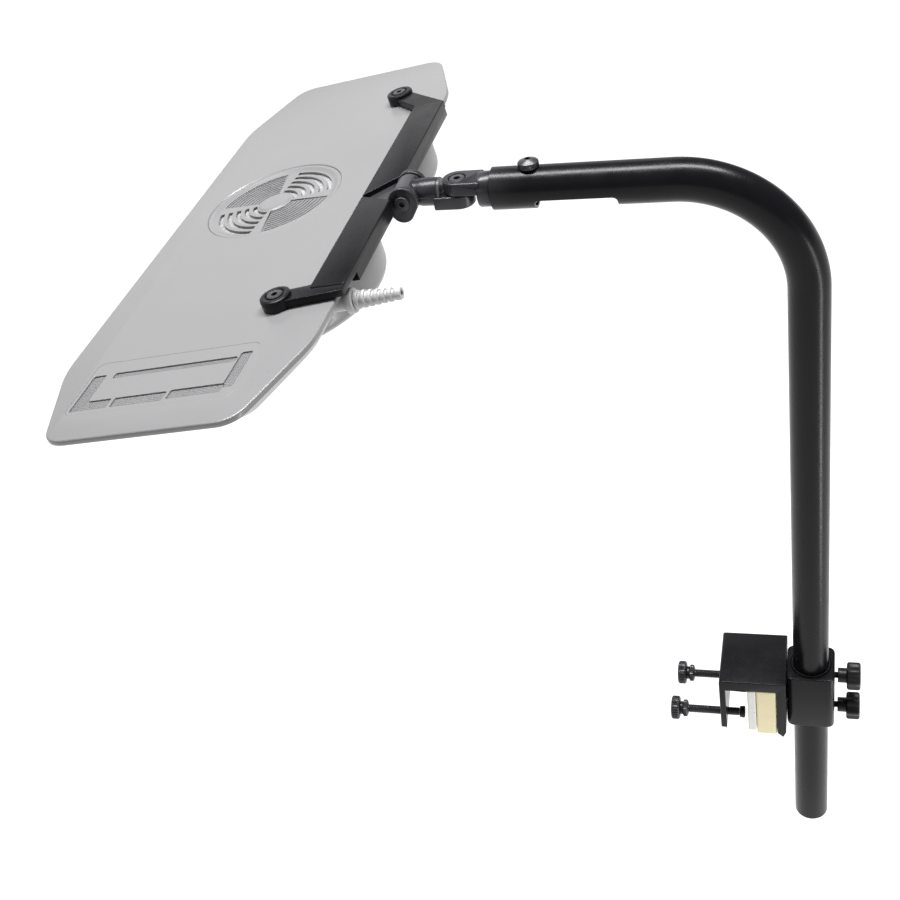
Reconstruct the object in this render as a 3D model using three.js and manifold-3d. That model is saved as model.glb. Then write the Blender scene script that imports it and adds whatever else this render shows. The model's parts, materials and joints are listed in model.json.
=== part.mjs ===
// Clamp-on mounting arm with a slim lighting panel.
// A rim clamp holds a sleeve. A bent steel tube stands in the sleeve, turns and slides in it.
// At the tube's end a two-axis knuckle carries a bracket, and the bracket carries the panel.
//
// Frame: millimetres, +Z up. The origin is on the underside of the clamp's top plate, in the
// middle of the jaw gap, where the plate rests on the rim. The arm reaches towards -X.
import * as THREE from 'three';
import { mergeVertices } from 'three/addons/utils/BufferGeometryUtils.js';
import Module from 'manifold-3d';

const wasm = await Module();
wasm.setup();

// ---------- driving dimensions ----------
const GAP = 0.3; // play left between neighbouring pieces

// rim clamp
const jawGap = 15.8; // between the left wall and the face pad
const leftWall = 4.5;
const facePad = 6.2;
const rimBlock = 14.7;
const rightWall = 6.5;
const plateThick = 10;
const clampDepth = 50.6;
const leftWallDrop = 42;
const rightWallDrop = 45;
const blockDrop = 47;
const rimScrewDrop = 31;
const rimScrewSpread = 36;
const rimScrewRadius = 3.2;
const rimTipPlay = { front: 2.4, rear: 0.6 }; // rest distances from the screw tips to the face pad

// sleeve and mast
const sleeveSide = 34.4;
const sleeveTop = 8;
const sleeveBottom = -44;
const linerWall = 0.95;
const tubeRadius = 12.7;
const tubeWall = 1.6;
const mastFoot = -166;
const armHeight = 410; // axis of the horizontal run
const bendRadius = 75;
const armReach = 181; // mast axis to the tube's open end
const lockScrewDrops = [3, 36];
const lockScrewRadius = 2.5;
const topScrewInset = 23; // from the tube's open end
const cableWindow = { inset: 26, length: 49, top: -3.4, corner: 3 }; // open from below

// knuckle
const collarRadius = 10.6;
const collarLength = 8.6;
const plugLength = 25.4;
const lugRadius = 9.2;
const lugHeight = 8.5;
const yawInset = 21.6; // tube's open end to the yaw pin
const shoulderGap = 1.4;
const tongueRadius = 8.5;
const tiltInset = 53.8; // tube's open end to the tilt axis
const pinRadius = 2.9;

// bracket, in the tilting head's own axes: x towards the mast, y along the panel
const headTilt = THREE.MathUtils.degToRad(7.75);
const earInner = 8.9;
const earThick = 4;
const earRadius = 9.3;
const earFoot = { x: -2.4, z: -6 }; // the ears are drawn out below the pin
const earFootRadius = 7.4;
const webThick = 2.4;
const webBottom = -0.3;
const webHalfLength = 26;
const webInner = 9.2; // web stops this far from the tilt axis
const barInner = 5.9; // bar edge nearest the mast, from the tilt axis
const barWidth = 21.9;
const barBottom = 0.3;
const barThick = 5;
const lipThick = 5; // the bar's mast-side edge turns down past the panel
const lipBottom = -5;
const lipStart = 16.2; // the lip begins this far to each side of the knuckle
const notchHalf = 16; // half the mouth of the V notch over the knuckle
const armWidth = 13;
const bossRadius = 9.2;
const bossTop = 6.6;
const farFoot = { x: -46.9, y: 153 };
const nearFoot = { x: -47.5, y: -113 };
const farBar = { barEnd: 124, lipEnd: 122, apexY: -3.5, armRoot: [[118, 124], [124.5, 118]] };
const nearBar = { barEnd: -110, lipEnd: -91, apexY: -4.6, armRoot: [[-104, -116], [-104.5, -100]] };

// lighting panel, in its own axes: origin at the middle of its top face
const panelOffset = 91.7; // tilt axis to the panel's middle
const panelDrop = 0.7;
const panelHalfLength = 220;
const panelHalfWidth = 80;
const chamferLong = 67;
const chamferShort = 22.5;
const cornerRadius = 12;
const shellWall = 2.2;
const rimDepth = 3.4;
const trayBottom = -20;
const trayInset = 4;
const lampRadius = 69;
const lampBottom = -34;
const housingTop = -7;
const lampCentres = { near: { x: 10, y: -49 }, far: { x: 10, y: 83 } };
const lensRadius = 36;
const fanCentre = { x: -12, y: 28 };
const grilleRadius = 46.5;
const fanDepth = 10;
const fanTop = -4.4; // the fan hangs just under its grille
const fanBottom = fanTop - fanDepth;
const ventBox = { x: -5, y: -173, halfX: 52, halfY: 24 };
const glandSpot = { y: -100, z: -11.2 };
const casePostSpots = [[-50, -138], [50, -138], [-46, 170], [46, 170]];

// derived places
const jawFace = jawGap / 2;
const padRelief = 0.6; // the plate is relieved over the pads, so that only its jaw meets the rim
const leftOuter = -jawFace - leftWall;
const blockStart = jawFace + facePad + GAP;
const wallInner = blockStart + rimBlock + GAP;
const wallOuter = wallInner + rightWall;
const mastX = wallOuter + GAP + sleeveSide / 2;
const boreRadius = tubeRadius + GAP + 0.05 + linerWall + GAP;
const tubeEndX = mastX - armReach;
const yawX = tubeEndX - yawInset;
const tiltX = tubeEndX - tiltInset;

// ---------- materials ----------
const paint = (color, roughness, metalness) => new THREE.MeshStandardMaterial({ color, roughness, metalness });
const blackPowder = paint(0x1c1c1f, 0.55, 0.3);
const blackSteel = paint(0x26262a, 0.4, 0.7);
const blackPlastic = paint(0x18181a, 0.5, 0);
const creamRubber = paint(0xefe3b9, 0.8, 0);
const clearRubber = paint(0xf3f4f4, 0.35, 0);
const paleShell = paint(0xb9b9bb, 0.4, 0);
const greyPlastic = paint(0xa5a5a6, 0.5, 0);
const nylon = paint(0xd8d6cf, 0.5, 0);
const aluminium = paint(0xb4b7ba, 0.35, 0.9);
const boardGreen = paint(0x1d5a3a, 0.6, 0);
const lensClear = paint(0xe8edf2, 0.1, 0);

// ---------- geometry helpers ----------
function toSolid(geometry) {
  const bare = geometry.clone();
  bare.deleteAttribute('normal');
  bare.deleteAttribute('uv');
  const merged = mergeVertices(bare, 1e-4);
  return new wasm.Manifold(new wasm.Mesh({
    numProp: 3,
    vertProperties: new Float32Array(merged.attributes.position.array),
    triVerts: new Uint32Array(merged.index.array),
  }));
}

function toGeometry(solid) {
  const mesh = solid.getMesh();
  const geometry = new THREE.BufferGeometry();
  geometry.setAttribute('position', new THREE.BufferAttribute(new Float32Array(mesh.vertProperties), 3));
  geometry.setIndex(new THREE.BufferAttribute(new Uint32Array(mesh.triVerts), 1));
  geometry.computeVertexNormals();
  return geometry;
}

function join(...geometries) {
  return toGeometry(geometries.map(toSolid).reduce((all, next) => all.add(next)));
}

function cut(base, ...tools) {
  return toGeometry(tools.map(toSolid).reduce((left, tool) => left.subtract(tool), toSolid(base)));
}

// a box between two corners
function block(x0, x1, y0, y1, z0, z1) {
  const geometry = new THREE.BoxGeometry(x1 - x0, y1 - y0, z1 - z0);
  return geometry.translate((x0 + x1) / 2, (y0 + y1) / 2, (z0 + z1) / 2);
}

// a round rod along one axis, between two places on it; the other two coordinates place it
function rodZ(radius, z0, z1, x = 0, y = 0, sides = 20) {
  const geometry = new THREE.CylinderGeometry(radius, radius, z1 - z0, sides);
  return geometry.rotateX(Math.PI / 2).translate(x, y, (z0 + z1) / 2);
}

function rodX(radius, x0, x1, y = 0, z = 0, sides = 20) {
  const geometry = new THREE.CylinderGeometry(radius, radius, x1 - x0, sides);
  return geometry.rotateZ(Math.PI / 2).translate((x0 + x1) / 2, y, z);
}

function rodY(radius, y0, y1, x = 0, z = 0, sides = 20) {
  const geometry = new THREE.CylinderGeometry(radius, radius, y1 - y0, sides);
  return geometry.translate(x, (y0 + y1) / 2, z);
}

// a turned piece about Z; profile is [radius, z] pairs
function turned(profile, sides = 28) {
  const points = profile.map(([r, z]) => new THREE.Vector2(r, z));
  return new THREE.LatheGeometry(points, sides).rotateX(Math.PI / 2);
}

// a turned piece about X, whose profile's second number runs along +X
function turnedX(profile, sides = 20) {
  return turned(profile, sides).rotateY(Math.PI / 2);
}

// a flat piece: an outline in X and Y, from z0 to z1
function slab(shape, z0, z1, curveSegments = 4) {
  const geometry = new THREE.ExtrudeGeometry(shape, { depth: z1 - z0, bevelEnabled: false, curveSegments });
  return geometry.translate(0, 0, z0);
}

function polygon(points) {
  return new THREE.Shape(points.map(([x, y]) => new THREE.Vector2(x, y)));
}

// a closed outline through corner points, each corner rounded to the radius
function roundedOutline(corners, radius) {
  const shape = new THREE.Shape();
  corners.forEach((corner, i) => {
    const here = new THREE.Vector2(...corner);
    const before = new THREE.Vector2(...corners[(i + corners.length - 1) % corners.length]);
    const after = new THREE.Vector2(...corners[(i + 1) % corners.length]);
    const start = here.clone().add(before.sub(here).setLength(radius));
    const end = here.clone().add(after.sub(here).setLength(radius));
    if (i === 0) shape.moveTo(start.x, start.y);
    else shape.lineTo(start.x, start.y);
    shape.quadraticCurveTo(here.x, here.y, end.x, end.y);
  });
  shape.closePath();
  return shape;
}

function rectangle(halfX, halfY, radius) {
  return roundedOutline([[-halfX, -halfY], [halfX, -halfY], [halfX, halfY], [-halfX, halfY]], radius);
}

// a disc or cap with hand-grip lobes round its edge, along Z
function lobedDisc(radius, depth, lobes, z0, z1) {
  const points = [];
  const steps = lobes * 4;
  for (let i = 0; i < steps; i += 1) {
    const angle = (i / steps) * Math.PI * 2;
    const r = radius - depth * (0.5 - 0.5 * Math.cos(angle * lobes));
    points.push([r * Math.cos(angle), r * Math.sin(angle)]);
  }
  return slab(polygon(points), z0, z1);
}

function add(group, name, geometry, material) {
  const mesh = new THREE.Mesh(geometry, material);
  mesh.name = name;
  group.add(mesh);
  return mesh;
}

// ---------- rim clamp ----------
function clampFrame() {
  const profile = polygon([
    [leftOuter, -leftWallDrop],
    [-jawFace, -leftWallDrop],
    [-jawFace, 0],
    [jawFace, 0],
    [jawFace, padRelief],
    [wallInner, padRelief],
    [wallInner, -rightWallDrop],
    [wallInner + 4.2, -rightWallDrop - 4.5],
    [wallOuter, -rightWallDrop + 1],
    [wallOuter, plateThick],
    [leftOuter, plateThick],
  ]);
  const body = slab(profile, -clampDepth / 2, clampDepth / 2).rotateX(Math.PI / 2);
  const half = rimScrewSpread / 2;
  const threads = [-half, half].map((y) => rodX(rimScrewRadius + GAP, leftOuter - 1, -jawFace + 1, y, -rimScrewDrop));
  const bolts = [-12.6, 12.6].flatMap((y) => [
    rodX(2 + GAP, wallInner - 1, wallOuter + 1, y, -18, 16),
    rodX(3.9, wallInner - 1, wallInner + 3.4, y, -18, 16),
  ]);
  return cut(body, ...threads, ...bolts);
}

function mastSleeve() {
  const body = slab(rectangle(sleeveSide / 2, sleeveSide / 2, 6), sleeveBottom, sleeveTop).translate(mastX, 0, 0);
  const bore = rodZ(boreRadius, sleeveBottom - 1, sleeveTop + 1, mastX, 0, 40);
  const threads = lockScrewDrops.map((drop) => rodX(lockScrewRadius + GAP, mastX, mastX + sleeveSide, 0, -drop, 16));
  const bolts = [-12.6, 12.6].map((y) => rodX(2 + GAP, mastX - sleeveSide, wallOuter + 7, y, -18, 16));
  return cut(body, bore, ...threads, ...bolts);
}

function sleeveBolt(y) {
  return join(rodX(3.6, wallInner + 0.2, wallInner + 3.1, y, -18, 16), rodX(2, wallInner + 3, wallOuter + 6.6, y, -18, 16));
}

// the thumb screw that bears on the rim: grooved head, plain shank
function rimScrew(play) {
  const shankEnd = jawFace - play - 4.3;
  const head = shankEnd - 51.2;
  return turnedX([
    [0, head],
    [8.1, head],
    [8.8, head + 0.8],
    [8.8, head + 5.5],
    [8.1, head + 6.3],
    [5.2, head + 6.9],
    [5.2, head + 8.3],
    [6.3, head + 8.9],
    [6.3, head + 12],
    [rimScrewRadius, head + 13],
    [rimScrewRadius, shankEnd],
    [0, shankEnd],
  ]);
}

function rimScrewTip(play) {
  const tipEnd = jawFace - play;
  return turnedX([[0, tipEnd - 4], [4.3, tipEnd - 4], [4.6, tipEnd - 1], [4.0, tipEnd], [0, tipEnd]]);
}

// the knob that locks the mast in its sleeve
function lockScrew() {
  const start = mastX + boreRadius + 1.75;
  const hub = mastX + sleeveSide / 2 + 2.2;
  const stem = turnedX([
    [0, start],
    [lockScrewRadius, start],
    [lockScrewRadius, hub],
    [5.5, hub + 0.4],
    [5.5, hub + 7],
    [0, hub + 7],
  ]);
  const grip = lobedDisc(10.6, 1.4, 7, 0, 9.8).rotateY(Math.PI / 2).translate(hub + 6.4, 0, 0);
  return join(stem, grip);
}

function lockTip() {
  const start = mastX + boreRadius + 0.05;
  return rodX(2.4, start, start + 1.4, 0, 0, 16);
}

const clamp = new THREE.Group();
add(clamp, 'clamp_frame', clampFrame(), blackPowder);
add(clamp, 'mast_sleeve', mastSleeve(), blackPowder);
add(clamp, 'sleeve_bolt_front', sleeveBolt(-12.6), blackSteel);
add(clamp, 'sleeve_bolt_rear', sleeveBolt(12.6), blackSteel);
const padHalf = clampDepth / 2 - 0.6;
add(clamp, 'rim_block', block(blockStart, wallInner - GAP, -padHalf, padHalf, -blockDrop, 0.2), creamRubber);
add(clamp, 'rim_face_pad', block(jawFace, jawFace + facePad, -padHalf, padHalf, -blockDrop + 3, -0.1), clearRubber);
for (const [side, sign] of [['front', -1], ['rear', 1]]) {
  const spot = new THREE.Group();
  spot.position.set(0, (sign * rimScrewSpread) / 2, -rimScrewDrop);
  add(spot, `rim_screw_${side}`, rimScrew(rimTipPlay[side]), blackSteel);
  add(spot, `rim_screw_tip_${side}`, rimScrewTip(rimTipPlay[side]), blackPlastic);
  clamp.add(spot);
}
['upper', 'lower'].forEach((level, i) => {
  const spot = new THREE.Group();
  spot.position.set(0, 0, -lockScrewDrops[i]);
  add(spot, `mast_lock_screw_${level}`, lockScrew(), blackPlastic);
  add(spot, `mast_lock_tip_${level}`, lockTip(), nylon);
  clamp.add(spot);
});

// ---------- mast ----------
// The tube's centre line: up, round the bend and out. The straight runs take one step each,
// so the parameter is shared out by step and not by length.
class MastLine extends THREE.Curve {
  constructor(bendSteps) {
    super();
    this.bendSteps = bendSteps;
    this.steps = bendSteps + 2;
  }

  getUtoTmapping(u) {
    return u;
  }

  getPoint(t, target = new THREE.Vector3()) {
    const place = t * this.steps;
    const bendFoot = armHeight - bendRadius;
    if (place <= 1) return target.set(mastX, 0, THREE.MathUtils.lerp(mastFoot, bendFoot, place));
    const bendEndX = mastX - bendRadius;
    if (place >= this.steps - 1) {
      return target.set(THREE.MathUtils.lerp(bendEndX, tubeEndX, place - this.steps + 1), 0, armHeight);
    }
    const angle = ((place - 1) / this.bendSteps) * (Math.PI / 2);
    return target.set(bendEndX + bendRadius * Math.cos(angle), 0, bendFoot + bendRadius * Math.sin(angle));
  }
}

function mastTube() {
  const section = new THREE.Shape().absarc(0, 0, tubeRadius, 0, Math.PI * 2);
  section.holes.push(new THREE.Path().absarc(0, 0, tubeRadius - tubeWall, 0, Math.PI * 2, true));
  const line = new MastLine(12);
  const tube = new THREE.ExtrudeGeometry(section, { steps: line.steps, extrudePath: line, curveSegments: 14 });
  const screwX = tubeEndX + topScrewInset;
  const screwHole = rodZ(2.6 + GAP, armHeight, armHeight + tubeRadius + 2, screwX, 0, 16);
  const { inset, length, top, corner } = cableWindow;
  const mouth = roundedOutline([[0, -30], [length, -30], [length, top], [0, top]], corner);
  const opening = slab(mouth, -20, 20).rotateX(Math.PI / 2).translate(tubeEndX + inset, 0, armHeight);
  return cut(tube, screwHole, opening);
}

function mastPlug() {
  const outer = tubeRadius - tubeWall - GAP;
  return turned([
    [0, mastFoot],
    [outer, mastFoot],
    [outer, mastFoot + 12],
    [outer - 2, mastFoot + 12],
    [outer - 2, mastFoot + 2.5],
    [0, mastFoot + 2.5],
  ]).translate(mastX, 0, 0);
}

function mastLiner() {
  const inner = tubeRadius + GAP + 0.05;
  return turned([
    [inner, sleeveBottom + GAP],
    [inner + linerWall, sleeveBottom + GAP],
    [inner + linerWall, sleeveTop + 0.6],
    [inner, sleeveTop + 0.6],
    [inner, sleeveBottom + GAP],
  ], 40).translate(mastX, 0, 0);
}

// dome-headed screw on top of the tube that grips the knuckle's shank
function topScrew() {
  const seat = armHeight + tubeRadius + 0.2;
  const dome = [[2.6, seat], [6.2, seat], [6.2, seat + 1.4], [5.4, seat + 3.4], [3.4, seat + 4.9], [0, seat + 5.5]];
  return turned([[0, armHeight + 10.9], [2.6, armHeight + 10.9], ...dome], 24).translate(tubeEndX + topScrewInset, 0, 0);
}

const mast = new THREE.Group();
add(mast, 'mast_liner', mastLiner(), blackPlastic);
add(mast, 'mast_tube', mastTube(), blackPowder);
add(mast, 'mast_end_plug', mastPlug(), blackPlastic);
add(mast, 'shank_lock_screw', topScrew(), blackSteel);

// ---------- knuckle ----------
// a half-lap lug: a flat tongue with a round end about the yaw pin
function lug(farX, z0, z1) {
  const straight = block(Math.min(yawX, farX), Math.max(yawX, farX), -lugRadius, lugRadius, z0, z1);
  return join(straight, rodZ(lugRadius, z0, z1, yawX, 0, 32));
}

function knuckleShank() {
  const collarEnd = tubeEndX - collarLength;
  const body = turnedX([
    [0, collarEnd],
    [collarRadius, collarEnd],
    [collarRadius, tubeEndX + plugLength - 1],
    [collarRadius - 1, tubeEndX + plugLength],
    [0, tubeEndX + plugLength],
  ], 32).translate(0, 0, armHeight);
  const top = armHeight + lugHeight;
  const tongue = lug(collarEnd + 1, armHeight + GAP / 2, top);
  const bore = rodZ(pinRadius + GAP, armHeight - 1, top + 1, yawX, 0, 20);
  return cut(join(body, tongue), bore, rodZ(5.2, top - 3.4, top + 1, yawX, 0, 20));
}

function yawScrew() {
  const top = armHeight + lugHeight;
  const foot = armHeight - lugHeight;
  return turned([
    [0, foot + 0.6],
    [pinRadius, foot + 0.6],
    [pinRadius, top - 3.1],
    [4.8, top - 3.1],
    [4.8, top - 0.3],
    [2.2, top - 0.3],
    [2.2, top - 2],
    [0, top - 2],
  ], 20).translate(yawX, 0, 0);
}

// a lock nut round a pin: a hexagon with a clear hole
function nut(inner, outer, z0, z1) {
  return cut(rodZ(outer, z0, z1, 0, 0, 6), rodZ(inner, z0 - 1, z1 + 1, 0, 0, 20));
}

function knuckleLink() {
  const shoulder = yawX - lugRadius - shoulderGap;
  const foot = armHeight - lugHeight;
  const neck = rodX(tongueRadius, tiltX, shoulder, 0, armHeight, 32);
  const barrel = rodY(tongueRadius, -tongueRadius + 0.1, tongueRadius - 0.1, tiltX, armHeight, 32);
  const low = lug(shoulder - 4, foot, armHeight - GAP / 2);
  const yawBore = rodZ(pinRadius + GAP, foot - 1, armHeight + 1, yawX, 0, 20);
  const nutSeat = rodZ(6, foot - 1, foot + 3.6, yawX, 0, 20);
  const tiltBore = rodY(pinRadius + GAP, -12, 12, tiltX, armHeight, 20);
  return cut(join(neck, barrel, low), yawBore, nutSeat, tiltBore);
}

const knuckle = new THREE.Group();
add(knuckle, 'knuckle_shank', knuckleShank(), blackSteel);
add(knuckle, 'yaw_screw', yawScrew(), blackSteel);
const yawNut = nut(pinRadius + GAP, 5.4, armHeight - lugHeight + 0.4, armHeight - lugHeight + 3.3);
add(knuckle, 'yaw_nut', yawNut, blackSteel).position.set(yawX, 0, 0);
add(knuckle, 'knuckle_link', knuckleLink(), blackSteel);

// ---------- tilting head: clevis and bracket ----------
function clevis() {
  const webBack = -barInner - barWidth;
  const web = block(webBack, -webInner, -lipStart, lipStart, webBottom, webBottom + webThick);
  const webEnds = block(webBack, -barInner - lipThick - GAP, -webHalfLength, webHalfLength, webBottom, webBottom + webThick);
  const pieces = [web, webEnds];
  for (const sign of [-1, 1]) {
    const inner = sign * earInner;
    const outer = sign * (earInner + earThick);
    const [y0, y1] = [Math.min(inner, outer), Math.max(inner, outer)];
    pieces.push(rodY(earRadius, y0, y1, 0, 0, 28));
    pieces.push(rodY(earFootRadius, y0, y1, earFoot.x, earFoot.z, 28));
    pieces.push(block(-webInner - 2, 0, y0, y1, webBottom, webBottom + webThick));
  }
  const pinHole = rodY(pinRadius + GAP, -20, 20, 0, 0, 20);
  const screws = plateScrewSpots().map(([x, y]) => rodZ(1.5 + GAP, webBottom - 1, webBottom + webThick + 1, x, y, 12));
  return cut(join(...pieces), pinHole, ...screws);
}

function plateScrewSpots() {
  return [[-22, -20], [-22, 20], [-14, -22], [-14, 22]];
}

// one half of the bracket: a flat bar along the panel's edge, an arm and a round foot boss
function bracketHalf(sign, { barEnd, lipEnd, apexY, armRoot }, foot) {
  const outerX = -barInner;
  const innerX = -barInner - barWidth;
  const top = barBottom + barThick;
  const [lipNear, lipFar] = [sign * (lipStart + GAP), lipEnd].sort((a, b) => a - b);
  const lip = block(outerX - lipThick, outerX, lipNear, lipFar, lipBottom, top - 1);
  const bar = slab(roundedOutline([
    [innerX, apexY],
    [outerX, sign * notchHalf],
    [outerX, barEnd],
    [innerX, barEnd - sign * 1],
  ], 1.2), barBottom, top);
  const [outerRoot, innerRoot] = armRoot;
  const middle = new THREE.Vector2((outerX + innerX) / 2, (outerRoot[1] + innerRoot[0]) / 2);
  const along = new THREE.Vector2(foot.x, foot.y).sub(middle).normalize();
  const across = new THREE.Vector2(-along.y, along.x).multiplyScalar(-sign * armWidth / 2);
  const arm = slab(new THREE.Shape([
    new THREE.Vector2(outerX, outerRoot[0]),
    new THREE.Vector2(outerX, outerRoot[1]),
    new THREE.Vector2(foot.x + across.x, foot.y + across.y),
    new THREE.Vector2(foot.x - across.x, foot.y - across.y),
    new THREE.Vector2(innerX, innerRoot[0]),
    new THREE.Vector2(innerX, innerRoot[1]),
  ]), barBottom, top - 0.6);
  const boss = rodZ(bossRadius, barBottom - 0.4, bossTop, foot.x, foot.y, 28);
  const lapTop = webBottom + webThick + GAP;
  const lapMouth = lipStart + GAP;
  const lapEnds = webHalfLength + GAP;
  const halfLap = [
    block(innerX - 1, outerX + 1, -lapMouth, lapMouth, barBottom - 1, lapTop),
    block(innerX - 1, outerX - lipThick, -lapEnds, lapEnds, barBottom - 1, lapTop),
  ];
  const seat = rodZ(5.1, bossTop - 3.2, bossTop + 1, foot.x, foot.y, 20);
  const hole = rodZ(2.5 + GAP, -5, bossTop + 1, foot.x, foot.y, 16);
  const screws = plateScrewSpots()
    .filter(([, y]) => Math.sign(y) === sign)
    .map(([x, y]) => rodZ(1.5 + GAP, 0, barBottom + barThick - 1, x, y, 12));
  return cut(join(bar, lip, arm, boss), ...halfLap, seat, hole, ...screws);
}

function footScrew(foot) {
  return turned([
    [0, -9],
    [2.5, -9],
    [2.5, bossTop - 2.9],
    [4.7, bossTop - 2.9],
    [4.7, bossTop + 0.3],
    [2, bossTop + 0.3],
    [2, bossTop - 1.6],
    [0, bossTop - 1.6],
  ], 20).translate(foot.x, foot.y, 0);
}

const head = new THREE.Group();
head.position.set(tiltX, 0, armHeight);
head.rotation.y = -headTilt;
add(head, 'tilt_clevis', clevis(), blackSteel);
add(head, 'bracket_arm_far', bracketHalf(1, farBar, farFoot), blackPowder);
add(head, 'bracket_arm_near', bracketHalf(-1, nearBar, nearFoot), blackPowder);
add(head, 'foot_screw_far', footScrew(farFoot), blackSteel);
add(head, 'foot_screw_near', footScrew(nearFoot), blackSteel);
plateScrewSpots().forEach(([x, y], i) => {
  const screw = rodZ(1.5, webBottom + GAP, barBottom + barThick - 1.3, x, y, 12);
  add(head, `plate_screw_${i + 1}`, screw, blackSteel);
});
const earOuter = earInner + earThick;
const tiltScrewProfile = [
  [0, -earOuter - 2.6],
  [4.6, -earOuter - 2.6],
  [4.6, -earOuter - 0.2],
  [pinRadius, -earOuter - 0.2],
  [pinRadius, earOuter + 4.4],
  [0, earOuter + 4.4],
];
add(head, 'tilt_screw', turned(tiltScrewProfile, 20).rotateX(-Math.PI / 2), blackSteel);
const tiltNut = nut(pinRadius + GAP, 5.6, earOuter + 0.2, earOuter + 3.8).rotateX(-Math.PI / 2);
add(head, 'tilt_nut', tiltNut, blackSteel);

// ---------- lighting panel ----------
// the panel's outline, a long octagon with rounded corners, pulled in by an inset
function panelOutline(inset) {
  const w = panelHalfWidth - inset;
  const l = panelHalfLength - inset;
  const cw = chamferShort - inset * 0.35;
  const cl = chamferLong - inset * 0.35;
  return roundedOutline([
    [-w, -l + cl],
    [-w + cw, -l],
    [w - cw, -l],
    [w, -l + cl],
    [w, l - cl],
    [w - cw, l],
    [-w + cw, l],
    [-w, l - cl],
  ], cornerRadius);
}

// pulls the lower face of a slab in, so that its sides slope
function taper(geometry, zLow, scaleX, scaleY) {
  const position = geometry.attributes.position;
  for (let i = 0; i < position.count; i += 1) {
    if (Math.abs(position.getZ(i) - zLow) < 0.01) {
      position.setX(i, position.getX(i) * scaleX);
      position.setY(i, position.getY(i) * scaleY);
    }
  }
  return geometry;
}

function topShell() {
  const plate = slab(panelOutline(0), -rimDepth, 0);
  const hollow = slab(panelOutline(shellWall), -rimDepth - 1, -shellWall);
  const fanHole = rodZ(grilleRadius + GAP, -rimDepth - 1, 1, fanCentre.x, fanCentre.y, 40);
  const ventHole = slab(rectangle(ventBox.halfX + GAP, ventBox.halfY + GAP, 6), -rimDepth - 1, 1);
  const shell = cut(plate, hollow, fanHole, ventHole.translate(ventBox.x, ventBox.y, 0));
  const posts = casePostSpots.map(([x, y]) => rodZ(3.6, trayBottom + 4.6, -1, x, y, 16));
  const pilots = casePostSpots.map(([x, y]) => rodZ(1.5 + GAP, trayBottom + 3, -4, x, y, 12));
  const feet = [farFoot, nearFoot].map((foot) => rodZ(2.5 + GAP, -rimDepth - 1, 1, foot.x + panelOffset, foot.y, 16));
  return cut(join(shell, ...posts), ...pilots, ...feet);
}

// the two round lamp housings, which run into one another; grown pushes the walls out
function housingForm(grown) {
  const wide = lampRadius + grown;
  const forms = Object.values(lampCentres).map((centre) => turned([
    [0, lampBottom],
    [wide - 9, lampBottom],
    [wide, lampBottom + 9],
    [wide, housingTop + grown],
    [0, housingTop + grown],
  ], 40).translate(centre.x, centre.y, 0));
  return join(...forms);
}

function lampHousing() {
  const inner = [];
  for (const centre of Object.values(lampCentres)) {
    inner.push(turned([
      [0, lampBottom + shellWall],
      [lampRadius - 10.5, lampBottom + shellWall],
      [lampRadius - shellWall, lampBottom + 10.2],
      [lampRadius - shellWall, housingTop + 1],
      [0, housingTop + 1],
    ], 40).translate(centre.x, centre.y, 0));
    inner.push(rodZ(lensRadius + GAP, lampBottom - 1, lampBottom + 6, centre.x, centre.y, 32));
  }
  const fanHalf = 44 + GAP;
  const [fanX, fanY] = [fanCentre.x, fanCentre.y];
  const fanRoom = block(fanX - fanHalf, fanX + fanHalf, fanY - fanHalf, fanY + fanHalf, fanBottom - GAP, 0);
  return cut(housingForm(0), ...inner, fanRoom);
}

function bottomShell() {
  const mouth = -rimDepth - GAP;
  const tray = taper(slab(panelOutline(trayInset), trayBottom, mouth), trayBottom, 0.86, 0.88);
  const hollowInset = trayInset + shellWall;
  const trayHollow = taper(slab(panelOutline(hollowInset), trayBottom + shellWall, mouth + 1), trayBottom + shellWall, 0.87, 0.885);
  const glandHole = rodX(5.2 + GAP, panelHalfWidth - 30, panelHalfWidth + 5, glandSpot.y, glandSpot.z, 20);
  const screwHoles = casePostSpots.map(([x, y]) => rodZ(1.5 + GAP, trayBottom - 1, trayBottom + 5, x, y, 12));
  return cut(tray, trayHollow, housingForm(GAP), glandHole, ...screwHoles);
}

// an arc-shaped slot: the strip between two radii, from one angle to another
function arcSlot(radius, width, from, to, z0, z1) {
  const shape = new THREE.Shape();
  shape.absarc(0, 0, radius + width / 2, from, to, false);
  shape.absarc(0, 0, radius - width / 2, to, from, true);
  shape.closePath();
  return slab(shape, z0, z1, 5);
}

function fanGrille() {
  const disc = turned([
    [0, -3.4],
    [grilleRadius, -3.4],
    [grilleRadius, -0.3],
    [grilleRadius - 3, -0.3],
    [grilleRadius - 5, -1.8],
    [0, -1.8],
  ], 40);
  const slots = [];
  for (const start of [0, Math.PI]) {
    for (let ring = 0; ring < 5; ring += 1) {
      slots.push(arcSlot(14 + ring * 6, 3, start + 0.12, start + Math.PI / 2 - 0.12, -5, 0));
    }
  }
  return cut(disc, ...slots).translate(fanCentre.x, fanCentre.y, 0);
}


function fanFrame() {
  const outline = rectangle(44, 44, 8);
  outline.holes.push(new THREE.Path().absarc(0, 0, 41, 0, Math.PI * 2, true));
  const ring = slab(outline, fanBottom, fanTop - GAP, 14);
  const spider = [0, 1].map((turn) => block(-42, 42, -2.5, 2.5, fanBottom, fanBottom + 1.6).rotateZ((turn * Math.PI) / 2));
  const seat = rodZ(13, fanBottom, fanBottom + 1.6);
  return join(ring, ...spider, seat).translate(fanCentre.x, fanCentre.y, 0);
}

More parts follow.
